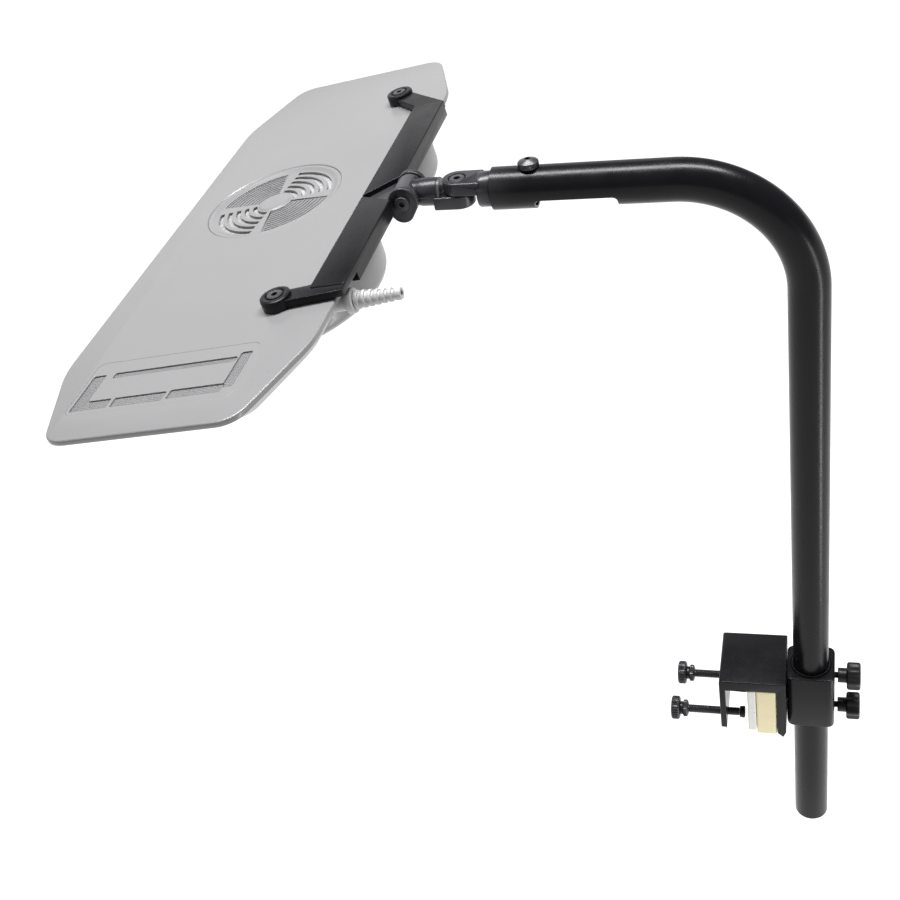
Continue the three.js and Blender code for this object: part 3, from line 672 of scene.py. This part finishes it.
def build_rim_screw(side):
    """Head with two grooves and a straight knurl, then a threaded shank that ends in a swivel tip."""
    low, high = (Vector(c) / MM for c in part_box(f"rim_screw_{side}"))
    y, z = (low.y + high.y) / 2, (low.z + high.z) / 2

    def knurl(r, height, turn):
        on_rim = r > 8.6 or (6.2 < r < 6.4 and height > 9)
        return r + (0.16 * math.cos(turn * 30) if on_rim else 0)

    grip = raw(
        spun(
            [
                (0, 0.9),
                (4.6, 0.9),
                (5.2, 0.3),
                (7.6, 0),
                (8.3, 0.25),
                (8.75, 0.9),
                (8.75, 2.1),
                (8.75, 3.6),
                (8.75, 5.2),
                (8.2, 6.1),
                (7.6, 6.4),
                (5.6, 6.6),
                (5.0, 7.0),
                (5.0, 8.3),
                (5.6, 8.8),
                (6.25, 9.2),
                (6.3, 10.2),
                (6.3, 11.6),
                (5.7, 12.3),
                (3.6, 13.0),
                (2.4, 13.2),
                (0, 13.2),
            ],
            120,
            knurl,
        )
    )
    shank = raw(threaded(3.2, 13.0, high.x - low.x, depth=0.32))
    screw = weld(grip, shank)
    body = f"rim_screw_{side}"
    dress(screw, f"rim_thumb_screw_{side}", body, "black_steel", [body], place=at(low.x, y, z) @ ALONG_X)

    low, high = (Vector(c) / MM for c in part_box(f"rim_screw_tip_{side}"))
    wall = [(0, 0), (3.9, 0), (4.25, 0.4), (4.55, 2.8), (4.5, 3.3)]
    tip = raw(spun(wall + [(4.1, 3.85), (3.4, 4.0), (1.2, 3.7), (0, 3.7)], 64))
    dress(tip, f"rim_tip_{side}", f"rim_tip_{side}", "black_plastic", [f"rim_screw_tip_{side}"],
          place=at(low.x, y, z) @ ALONG_X)


def build_lock_knob(level):
    """Seven-lobed knob with a dished face, a hub and a threaded stem."""
    low, high = (Vector(c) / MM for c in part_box(f"mast_lock_screw_{level}"))
    z = (low.z + high.z) / 2
    length = high.x - low.x

    def lobes(r, _height, turn):
        share = min(1.0, max(0.0, (r - 6.5) / 3.0))
        return r - 1.35 * share * (0.5 - 0.5 * math.cos(turn * 7))

    grip = raw(
        spun(
            [
                (0, -16.2),
                (5.2, -16.2),
                (5.5, -15.9),
                (5.5, -10.2),
                (5.9, -9.9),
                (9.2, -9.8),
                (10.1, -9.3),
                (10.55, -8.4),
                (10.55, -5.2),
                (10.55, -1.6),
                (10.2, -0.7),
                (9.3, -0.1),
                (8.2, 0),
                (6.6, -0.25),
                (5.6, -0.9),
                (5.0, -1.1),
                (3.4, -1.1),
                (3.1, -0.6),
                (2.6, -0.35),
                (0, -0.3),
            ],
            168,
            lobes,
        )
    )
    stem = raw(threaded(2.5, -length, -15.8, 0.8, 0.35))
    knob = weld(grip, stem)
    nodes = [f"mast_lock_screw_{level}"]
    place = at(high.x, 0, z) @ ALONG_X
    dress(knob, f"lock_knob_{level}", f"lock_screw_{level}", "black_plastic", nodes, place=place)


# ---------- mast ----------
def mast_line():
    """Frames along the tube: up, round the bend and out."""
    line = []
    across = Vector((0, 1, 0))
    foot = ARM_Z - BEND_R
    corner = Vector((MAST_X - BEND_R, 0, foot))
    for k in range(13):
        z = MAST_FOOT + (foot - MAST_FOOT) * k / 12
        line.append((Vector((MAST_X, 0, z)), Vector((1, 0, 0)), across))
    for k in range(1, 49):
        turn = math.pi / 2 * k / 48
        out = Vector((math.cos(turn), 0, math.sin(turn)))
        line.append((corner + out * BEND_R, out, across))
    for k in range(1, 9):
        x = corner.x + (TUBE_END - corner.x) * k / 8
        line.append((Vector((x, 0, ARM_Z)), Vector((0, 0, 1)), across))
    return line


def build_mast():
    line = mast_line()
    bm, outer = swept(line, circle(TUBE_R, TUBE_SIDES))
    inner = []
    for spot, side, up in line:
        inner.append([bm.verts.new(spot + side * u + up * v) for u, v in circle(TUBE_BORE, TUBE_SIDES)])
    for a, b in zip(inner, inner[1:]):
        for i in range(TUBE_SIDES):
            j = (i + 1) % TUBE_SIDES
            bm.faces.new((a[j], a[i], b[i], b[j]))
    for a, b in ((outer[0], inner[0]), (outer[-1], inner[-1])):
        for i in range(TUBE_SIDES):
            j = (i + 1) % TUBE_SIDES
            bm.faces.new((a[i], a[j], b[j], b[i]))
    tube = raw(bm)
    mouth = eased([(26, -30), (75, -30), (75, -3.4), (26, -3.4)], 3.5, 8)
    window = raw(prism(mouth, -20, 20), at(TUBE_END, 0, ARM_Z) @ UPRIGHT)
    hole = raw(prism(circle(2.9, 32), ARM_Z + 5, ARM_Z + 16), at(TOP_SCREW_X, 0))
    tube = carve(tube, window, hole)
    dress(tube, "mast", "mast", "black_powder", ["mast_tube"], sharp=40)

    rim = [(0, 0.5), (7.5, 0.5), (8.0, 0.15), (10.2, 0), (10.7, 0.35), (10.8, 1)]
    plug = raw(spun(rim + [(10.8, 12), (8.8, 12), (8.8, 2.5), (0, 2.5)], 72))
    dress(plug, "mast_plug", "mast", "black_plastic", ["mast_end_plug"], place=at(MAST_X, 0, MAST_FOOT))

    low, high = (Vector(c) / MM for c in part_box("mast_liner"))
    inner_r = TUBE_R + 0.35
    outer_r = inner_r + 0.95
    wall = [(inner_r, low.z), (outer_r, low.z), (outer_r, high.z - 0.25), (inner_r + 0.7, high.z)]
    liner = raw(spun(wall + [(inner_r + 0.2, high.z), (inner_r, high.z - 0.2), (inner_r, low.z)], 96))
    dress(liner, "liner", "liner", "black_plastic", ["mast_liner"], place=MAST)

    seat = ARM_Z + TUBE_R + 0.2
    dome = socket_head(6.2, 0, 5.4, 3.2, 2.2)
    for vertex in dome.data.vertices:
        height = vertex.co.z
        if height > 1.6:
            reach = math.hypot(vertex.co.x, vertex.co.y)
            vertex.co.z = 1.6 + (height - 1.6) * (1 - 0.55 * (reach / 6.2) ** 2)
    stem = raw(spun([(0, -2.0), (2.3, -2.0), (2.6, -1.7), (2.6, 0.4), (0, 0.4)], 32))
    dome = weld(dome, stem)
    dress(dome, "shank_screw", "mast", "black_steel", ["shank_lock_screw"], place=at(TOP_SCREW_X, 0, seat))


# ---------- knuckle ----------
def lug_outline(far, radius=9.2):
    half = math.pi / 2
    if far > 0:
        return [(far, -radius)] + [(far, radius)] + arc(radius, half, 3 * half, 32)
    return [(far, radius)] + [(far, -radius)] + arc(radius, -half, half, 32)


def build_knuckle():
    collar = raw(
        spun(
            [
                (0, 13.0),
                (9.6, 13.0),
                (10.25, 13.25),
                (10.6, 13.9),
                (10.6, 20.4),
                (10.3, 21.0),
                (10.6, 21.6),
                (10.6, 46.0),
                (9.6, 47.0),
                (0, 47.0),
            ],
            80,
        ),
        ALONG_X,
    )
    tongue = soften(raw(prism(lug_outline(15), GAP / 2, 8.5)), 1.0)
    shank = weld(collar, tongue)
    shank = carve(
        shank,
        raw(prism(circle(PIN_BORE, 40), -2, 10)),
        raw(spun([(0, 5.1), (5.2, 5.1), (5.2, 8.0), (6.4, 9.2), (0, 9.2)], 48)),
    )
    dress(shank, "knuckle_fork", "shank", "black_steel", ["knuckle_shank"], sharp=38, place=KNUCKLE)

    pin = socket_head(4.8, 5.4, 8.2, 4.0, 1.9, 2.9, -7.9)
    dress(pin, "yaw_pin", "shank", "black_steel", ["yaw_screw"], place=KNUCKLE)
    nut = soften(raw(prism(circle(5.4, 6), -8.1, -5.2)), 0.35)
    nut = carve(nut, raw(prism(circle(PIN_BORE, 32), -9, -4)))
    dress(nut, "yaw_lock_nut", "shank", "black_steel", ["yaw_nut"], place=KNUCKLE)

    reach = TILT.x - YAW_X
    neck = raw(
        spun(
            [
                (0, reach + 1),
                (7.6, reach + 1),
                (8.1, reach + 8.0),
                (8.5, reach + 9.4),
                (8.5, -13.2),
                (8.3, -12.7),
                (8.5, -12.2),
                (8.5, -11.4),
                (7.9, -10.6),
                (0, -10.6),
            ],
            72,
        ),
        ALONG_X,
    )
    ends = [(0, -8.4), (7.8, -8.4), (8.5, -7.7), (8.5, 7.7), (7.8, 8.4), (0, 8.4)]
    barrel = raw(spun(ends, 72), at(reach, 0, 0) @ ALONG_Y)
    tongue = soften(raw(prism(lug_outline(-14.6), -8.5, -GAP / 2)), 1.0)
    link = weld(neck, barrel, tongue)
    link = carve(
        link,
        raw(prism(circle(PIN_BORE, 40), -10, 2)),
        raw(prism(circle(6.0, 48), -10, -4.9)),
        raw(prism(circle(PIN_BORE, 40), -12, 12), at(reach, 0, 0) @ ALONG_Y),
    )
    dress(link, "knuckle_swivel", "link", "black_steel", ["knuckle_link"], sharp=38, place=KNUCKLE)


# ---------- tilting head ----------
PLATE_SCREWS = [(-22, -20), (-22, 20), (-14, -22), (-14, 22)]
BARS = {
    "far": {
        "sign": 1,
        "end": 124,
        "lip": 122,
        "apex": -3.5,
        "root": (118, 124, 124.5, 118),
        "foot": (-46.9, 153),
    },
    "near": {
        "sign": -1,
        "end": -110,
        "lip": -91,
        "apex": -4.6,
        "root": (-104, -116, -104.5, -100),
        "foot": (-47.5, -113),
    },
}


def build_clevis():
    web = soften(raw(box(-27.8, -9.2, -16.2, 16.2, -0.3, 2.1)), 0.3, 2)
    ends = soften(raw(box(-27.8, -11.2, -26, 26, -0.3, 2.1)), 0.3, 2)
    ears = []
    for y0 in (-12.9, 8.9):
        side = hull_of_rounds([(0, 0, 9.3), (-2.4, -6, 7.4)])
        ears.append(soften(raw(prism(side, -y0 - 4, -y0), UPRIGHT), 0.7))
        ears.append(raw(box(-11.2, -3, y0, y0 + 4, -0.3, 2.1)))
    clevis = weld(web, ends, *ears)
    tools = [raw(prism(circle(PIN_BORE, 40), -20, 20), ALONG_Y)]
    tools += [raw(prism(circle(SCREW_BORE, 20), -2, 4), at(x, y)) for x, y in PLATE_SCREWS]
    clevis = carve(clevis, *tools)
    dress(clevis, "clevis", "head", "black_steel", ["tilt_clevis"], sharp=38, place=HEAD)

    pin = socket_head(4.4, 13.1, 15.2, 3.4, 1.5, 2.9, -17.3)
    dress(pin, "tilt_pin", "head", "black_steel", ["tilt_screw"], place=HEAD @ UPRIGHT)
    nut = soften(raw(prism(circle(5.6, 6), 13.1, 16.7)), 0.35)
    nut = carve(nut, raw(prism(circle(PIN_BORE, 32), 12, 18)))
    dress(nut, "tilt_lock_nut", "head", "black_steel", ["tilt_nut"], place=HEAD @ ALONG_Y)
    for i, (x, y) in enumerate(PLATE_SCREWS):
        screw = raw(spun([(0, 0), (1.2, 0), (1.5, 0.3), (1.5, 3.9), (0, 4.0)], 32))
        nodes = [f"plate_screw_{i + 1}"]
        dress(screw, f"bar_screw_{i + 1}", "head", "black_steel", nodes, place=HEAD @ at(x, y))


def build_bar(side):
    """One half of the bracket: bar, turned-down lip, arm and foot boss in one casting."""
    spec = BARS[side]
    sign, end = spec["sign"], spec["end"]
    foot = Vector(spec["foot"])
    outer, inner, low, top = -5.9, -27.8, 0.3, 5.3
    corners = [(inner, spec["apex"]), (outer, sign * 16, 1.2), (outer, end, 2.0), (inner, end - sign, 1.5)]
    if sign < 0:
        corners = corners[::-1]
    bar = soften(raw(prism(eased(corners, 1.0, 5), low, top)), 0.55)
    start, stop = sorted((sign * 16.5, spec["lip"]))
    lip = soften(raw(box(outer - 5, outer, start, stop, -5, top - 1)), 0.5)
    root = spec["root"]
    way = foot - Vector(((outer + inner) / 2, (root[1] + root[2]) / 2))
    across = Vector((-way.y, way.x)).normalized() * -sign * 6.3
    strip = [(outer, root[0]), (outer, root[1]), tuple(foot + across)]
    strip += [tuple(foot - across), (inner, root[2]), (inner, root[3])]
    if sign < 0:
        strip = strip[::-1]
    arm = soften(raw(prism(eased(strip, 0.8, 4), low, top - 0.6)), 0.55)
    wall = [(0, low - 0.4), (9.2, low - 0.4), (9.2, 5.4), (8.9, 6.2), (8.2, 6.6)]
    boss = raw(spun(wall + [(6.1, 6.6), (5.7, 6.3), (5.5, 5.9), (0, 5.9)], 72), at(foot.x, foot.y))
    bracket = weld(bar, lip, arm, boss)
    tools = [
        raw(box(inner - 1, outer + 1, -16.5, 16.5, -1, 2.4)),
        raw(box(inner - 1, outer - 5, -26.3, 26.3, -1, 2.4)),
        raw(prism(circle(5.1, 48), 3.4, 8), at(foot.x, foot.y)),
        raw(prism(circle(2.8, 32), -5, 8), at(foot.x, foot.y)),
    ]
    for x, y in PLATE_SCREWS:
        if y * sign > 0:
            tools.append(raw(prism(circle(SCREW_BORE, 20), 0, 4.3), at(x, y)))
    bracket = carve(bracket, *tools)
    nodes = [f"bracket_arm_{side}"]
    dress(bracket, f"bracket_{side}", "head", "black_powder", nodes, sharp=38, place=HEAD)

    screw = socket_head(4.7, 3.7, 6.9, 3.6, 1.9, 2.5, -9.0)
    nodes = [f"foot_screw_{side}"]
    dress(screw, f"foot_cap_screw_{side}", "head", "black_steel", nodes, place=HEAD @ at(foot.x, foot.y))


# ---------- lighting panel ----------
def build_top_shell():
    edge = 1.1
    lower = [(panel_outline(0.25), -RIM_DEPTH), (panel_outline(0), -RIM_DEPTH + 0.4)]
    upper = []
    for k in range(5):
        turn = math.pi / 2 * k / 4
        upper.append((panel_outline(edge * (1 - math.cos(turn))), -edge * (1 - math.sin(turn))))
    shell = raw(loft(lower + upper))
    hollow = raw(prism(panel_outline(SHELL_WALL), -RIM_DEPTH - 1, -SHELL_WALL))
    fan_edge = GRILLE_R + 0.05
    fan_profile = [(0, -8), (fan_edge, -8), (fan_edge, -0.5), (GRILLE_R + 1.2, 0.6), (0, 0.6)]
    fan_hole = raw(spun(fan_profile, 120), at(FAN.x, FAN.y))
    vent_outline = rectangle(VENT_HALF[0] + GAP, VENT_HALF[1] + GAP, 6, steps=8)
    vent_hole = raw(prism(vent_outline, -8, 1), at(VENT.x, VENT.y))
    feet = [
        raw(prism(circle(2.8, 24), -8, 1), at(spec["foot"][0] - PANEL_OFFSET.x, spec["foot"][1]))
        for spec in BARS.values()
    ]
    shell = carve(shell, hollow, fan_hole, vent_hole, *feet)
    posts = [raw(prism(circle(3.6, 32), TRAY_FOOT + 4.6, -SHELL_WALL + 0.5), at(x, y)) for x, y in POSTS]
    shell = weld(shell, *posts)
    shell = carve(shell, *[raw(prism(circle(SCREW_BORE, 20), TRAY_FOOT + 3, -4), at(x, y)) for x, y in POSTS])
    dress(shell, "panel_top", "head", "pale_shell", ["light_top_shell"], 0.0, 2, 40, place=PANEL)


def housing_form(grown):
    """The two round lamp housings run together, with rounded lower edges."""
    rounds = []
    wide = LAMP_R + grown
    for x, y in LAMPS.values():
        profile = [(0, LAMP_FOOT), (wide - 10.5, LAMP_FOOT)]
        for k in range(9):
            turn = math.pi / 2 * k / 8
            reach = wide - 9 + 9 * math.sin(turn) - 0.6 * math.cos(turn)
            profile.append((reach, LAMP_FOOT + 9 * (1 - math.cos(turn)) * 0.95))
        profile += [(wide, HOUSING_TOP + grown), (0, HOUSING_TOP + grown)]
        rounds.append(raw(spun(profile, 120), at(x, y)))
    return weld(*rounds)


def build_bottom_shell():
    mouth = -RIM_DEPTH - GAP

    def tray(inset, foot, top, shrink_x, shrink_y, soft):
        outline = panel_outline(inset)
        rings = []
        for k in range(7):
            turn = math.pi / 2 * k / 6
            inward = soft * (1 - math.sin(turn))
            z = foot + soft * (1 - math.cos(turn))
            climb = (z - foot) / (top - foot)
            sx = (shrink_x + (1 - shrink_x) * climb) * (1 - inward / 70)
            sy = (shrink_y + (1 - shrink_y) * climb) * (1 - inward / 200)
            rings.append(([(x * sx, y * sy) for x, y in outline], z))
        rings.append((outline, top))
        return loft(rings)

    shell = raw(tray(4, TRAY_FOOT, mouth, 0.86, 0.88, 3.0))
    hollow = raw(tray(6.2, TRAY_FOOT + SHELL_WALL, mouth + 1, 0.87, 0.885, 2.0))
    gland_hole = raw(prism(circle(5.5, 40), 50, 85), at(0, GLAND.y, GLAND.z) @ ALONG_X)
    screws = [raw(prism(circle(SCREW_BORE, 20), TRAY_FOOT - 1, TRAY_FOOT + 5), at(x, y)) for x, y in POSTS]
    shell = carve(shell, hollow, housing_form(GAP), gland_hole, *screws)
    dress(shell, "panel_tray", "head", "pale_shell", ["light_bottom_shell"], 0.0, 2, 40, place=PANEL)


def build_housing():
    body = housing_form(0)
    tools = []
    for x, y in LAMPS.values():
        tools.append(
            raw(
                spun(
                    [
                        (0, LAMP_FOOT + SHELL_WALL),
                        (LAMP_R - 11.5, LAMP_FOOT + SHELL_WALL),
                        (LAMP_R - 5, LAMP_FOOT + 5.5),
                        (LAMP_R - SHELL_WALL, LAMP_FOOT + 10.5),
                        (LAMP_R - SHELL_WALL, HOUSING_TOP + 2),
                        (0, HOUSING_TOP + 2),
                    ],
                    96,
                ),
                at(x, y),
            )
        )
        tools.append(raw(prism(circle(LENS_R + GAP, 96), LAMP_FOOT - 1, LAMP_FOOT + 6), at(x, y)))
    fan_room = 44.3
    tools.append(raw(box(FAN.x - fan_room, FAN.x + fan_room, FAN.y - fan_room, FAN.y + fan_room, -14.7, 0)))
    body = carve(body, *tools)
    dress(body, "lamp_housings", "head", "pale_shell", ["lamp_housing"], 0.4, 2, 40, place=PANEL)
    for side, (x, y) in LAMPS.items():
        foot = LAMP_FOOT
        bezel = raw(
            spun(
                [
                    (31.0, foot - 0.4),
                    (31.4, foot - 0.8),
                    (34.6, foot - 0.8),
                    (35.6, foot - 0.2),
                    (35.8, foot + 0.6),
                    (35.8, foot + 5),
                    (32.5, foot + 5),
                    (32.5, foot + 2),
                    (31, foot + 1.4),
                    (31.0, foot - 0.4),
                ],
                120,
            )
        )
        dress(bezel, f"bezel_{side}", "head", "grey_plastic", [f"lens_bezel_{side}"], place=PANEL @ at(x, y))

        profile = [(0, foot + 1.2)]
        for k in range(1, 41):
            r = 32 * k / 40
            step = 0.35 * (1 - (k % 4) / 4)
            profile.append((r, foot + 1.3 + 0.0013 * r * r + step * (k < 40)))
        profile += [(32, foot + 4.6), (16, foot + 4.35), (0, foot + 4.2)]
        lens = raw(spun(profile, 96))
        dress(lens, f"lens_{side}", "head", "lens", [f"lamp_lens_{side}"], sharp=20, place=PANEL @ at(x, y))


def ring_sector(radius, width, start, end, steps=14):
    """The outline of part of a ring about a middle radius, between two turns."""
    outer = arc(radius + width / 2, start, end, steps)
    inner = arc(radius - width / 2, end, start, steps)
    return outer + inner


def build_grille():
    """A dished disc with arc slots through two quarters and arc ribs in the two sunk quarters between."""
    dish = raw(
        spun(
            [
                (0, -3.4),
                (GRILLE_R - 0.4, -3.4),
                (GRILLE_R, -3.0),
                (GRILLE_R, -0.7),
                (GRILLE_R - 0.5, -0.3),
                (GRILLE_R - 2.2, -0.3),
                (GRILLE_R - 3.2, -0.6),
                (GRILLE_R - 5.0, -1.7),
                (GRILLE_R - 5.6, -1.8),
                (11.5, -1.8),
                (10.5, -1.2),
                (9.5, -1.05),
                (0, -0.95),
            ],
            120,
        )
    )
    tools = []
    for start in (0, math.pi):
        for ring in range(5):
            radius = 14 + ring * 6
            slot = ring_sector(radius, 3, start + 0.1 + 0.5 / radius, start + math.pi / 2 - 0.1)
            tools.append(raw(prism(slot, -5, 0)))
    for start in (math.pi / 2, 3 * math.pi / 2):
        sunk = ring_sector(26.5, 27.5, start + 0.12, start + math.pi / 2 - 0.12, 24)
        tools.append(raw(prism(sunk, -2.6, 0)))
    dish = carve(dish, *tools)
    place = PANEL @ at(FAN.x, FAN.y)
    dress(dish, "fan_guard", "head", "pale_shell", ["fan_grille"], 0.25, 2, 30, place=place)
    # The backing and ribs in the sunk quarters take pale_recess, darker than the guard's pale_shell: painted
    # shade in the sunk quarters.
    for i, start in enumerate((math.pi / 2, 3 * math.pi / 2)):
        backing = ring_sector(26.5, 26.7, start + 0.135, start + math.pi / 2 - 0.135, 24)
        ribs = raw(prism(backing, -2.6, -2.45))
        bars = []
        for ring in range(9):
            line = ring_sector(14.5 + ring * 3, 0.9, start + 0.15, start + math.pi / 2 - 0.15, 20)
            bars.append(raw(prism(line, -2.5, -2.05)))
        ribs = weld(ribs, *bars)
        dress(ribs, f"sunk_quarter_{i + 1}", "head", "pale_recess", place=place)
    screen = raw(spun([(0, -3.95), (41.2, -3.95), (41.5, -3.8), (41.2, -3.65), (0, -3.65)], 96))
    dress(screen, "dust_screen", "head", "dust_mesh", place=place)


VENT_STRIPS = [
    [(-36, 7.5), (42, 7.5), (42, 12.5), (-36, 12.5)],
    [(43, -16), (50, -16), (50, 16), (43, 16)],
    [(11, -20), (44, -20), (44, -12), (11, -12)],
    [(-24, -21), (9, -21), (9, -12.5), (-24, -12.5)],
    [(-50, -21), (-26, -21), (-26, -12.5), (-41.5, -12.5), (-41.5, 12), (-50, 12)],
]


def inside(outline, x, y):
    """Whether a point lies in an outline."""
    hit = False
    for (x0, y0), (x1, y1) in zip(outline, outline[1:] + outline[:1]):
        if (y0 > y) != (y1 > y) and x < x0 + (y - y0) * (x1 - x0) / (y1 - y0):
            hit = not hit
    return hit


def build_vent():
    """A plate flush with the shell, with sunk strips round its middle, each with a fine grid floor."""
    half_x, half_y = VENT_HALF
    plate = raw(prism(rectangle(half_x + 0.28, half_y + 0.28, 6, steps=8), -2.4, -0.02))
    plate = carve(plate, *[raw(prism(eased(strip, 1.6, 5), -1.1, 1)) for strip in VENT_STRIPS])
    place = PANEL @ at(VENT.x, VENT.y)
    dress(plate, "vent_plate", "head", "pale_shell", ["vent_insert"], 0.22, 2, 30, place=place)
    pitch, half = 1.5, 0.75
    cells = []
    for strip in VENT_STRIPS:
        xs, ys = [p[0] for p in strip], [p[1] for p in strip]
        for i in range(int((max(xs) - min(xs)) / pitch)):
            for k in range(int((max(ys) - min(ys)) / pitch)):
                x, y = min(xs) + 0.9 + pitch * i, min(ys) + 0.9 + pitch * k
                corners = [(x + i_x * half, y + i_y * half) for i_x in (-1, 1) for i_y in (-1, 1)]
                if all(inside(strip, px, py) for px, py in corners):
                    cells.append(spun([(0, -1.08), (0.62, -1.08), (0.45, -0.8), (0, -0.72)], 6))
                    bmesh.ops.translate(cells[-1], verts=cells[-1].verts, vec=(x, y, 0))
    # The grid cells and strip floors take pale_recess, darker than the plate's pale_shell: painted shade in
    # the sunk strips.
    dress(bundle(cells), "vent_grid", "head", "pale_recess", place=place)
    floors = [prism(eased(strip, 1.6, 5), -1.09, -0.98) for strip in VENT_STRIPS]
    dress(bundle(floors), "vent_floor", "head", "pale_recess", place=place)


def build_gland():
    wall = 78
    profile = [
        (3.2, wall - 12),
        (5.2, wall - 12),
        (5.2, wall + 0.9),
        (6.9, wall + 0.9),
        (7.35, wall + 1.4),
        (7.35, wall + 4.0),
        (6.9, wall + 4.8),
        (5.9, wall + 5),
        (3.2, wall + 5),
        (3.2, wall - 12),
    ]
    collar = raw(spun(profile, 72))
    place = PANEL @ at(0, GLAND.y, GLAND.z) @ ALONG_X
    dress(collar, "gland", "head", "relief_grey", ["cable_gland"], place=place)
    start = 83.4
    profile = [(1.9, start), (5.1, start), (5.4, start + 0.4)]
    for i in range(6):
        x = start + 2.0 + i * 4
        r = 5.4 - i * 0.28
        profile += [(r, x), (r - 0.2, x + 0.45), (r - 1.1, x + 0.7), (r - 1.25, x + 1.2), (r - 1.2, x + 1.9)]
        profile += [(r - 0.5, x + 2.3), (r - 0.28, x + 2.8)]
    profile += [(3.7, start + 27.2), (3.2, start + 28), (1.9, start + 28), (1.9, start)]
    relief = raw(spun(profile, 56))
    dress(relief, "relief_sleeve", "head", "relief_grey", ["strain_relief"], place=place)


def build_case_screws():
    for i, (x, y) in enumerate(POSTS):
        screw = socket_head(3.0, 0, 1.5, 2.0, 0.9, knurled=False)
        place = PANEL @ at(x, y, TRAY_FOOT - GAP) @ Matrix.Rotation(math.pi, 4, "X")
        shank = raw(threaded(1.5, -13, 0.2, 0.7, 0.25, 24))
        screw = weld(screw, shank)
        dress(screw, f"case_fastener_{i + 1}", "head", "black_steel", [f"case_screw_{i + 1}"], place=place)


def refinish():
    """CAD nodes that stay in view keep their shape and take a procedural finish and rounded edges."""
    finishes = {part["node"]: part["material_slot"] for part in frame["record"]["subparts"]}
    for node, obj in frame["nodes"].items():
        if obj.hide_render:
            continue
        for holder in obj.material_slots:
            holder.link = "OBJECT"
            holder.material = LOOKS[finishes[node]]
        bevel = obj.modifiers.new("edges", "BEVEL")
        bevel.width = 0.25 * MM
        bevel.segments = 2
        bevel.limit_method = "ANGLE"
        bevel.angle_limit = math.radians(40)
        bevel.harden_normals = True


build_clamp()
for name in ("front", "rear"):
    build_rim_screw(name)
for name in ("upper", "lower"):
    build_lock_knob(name)
build_mast()
build_knuckle()
build_clevis()
for name in BARS:
    build_bar(name)
build_top_shell()
build_bottom_shell()
build_housing()
build_grille()
build_vent()
build_gland()
build_case_screws()
refinish()
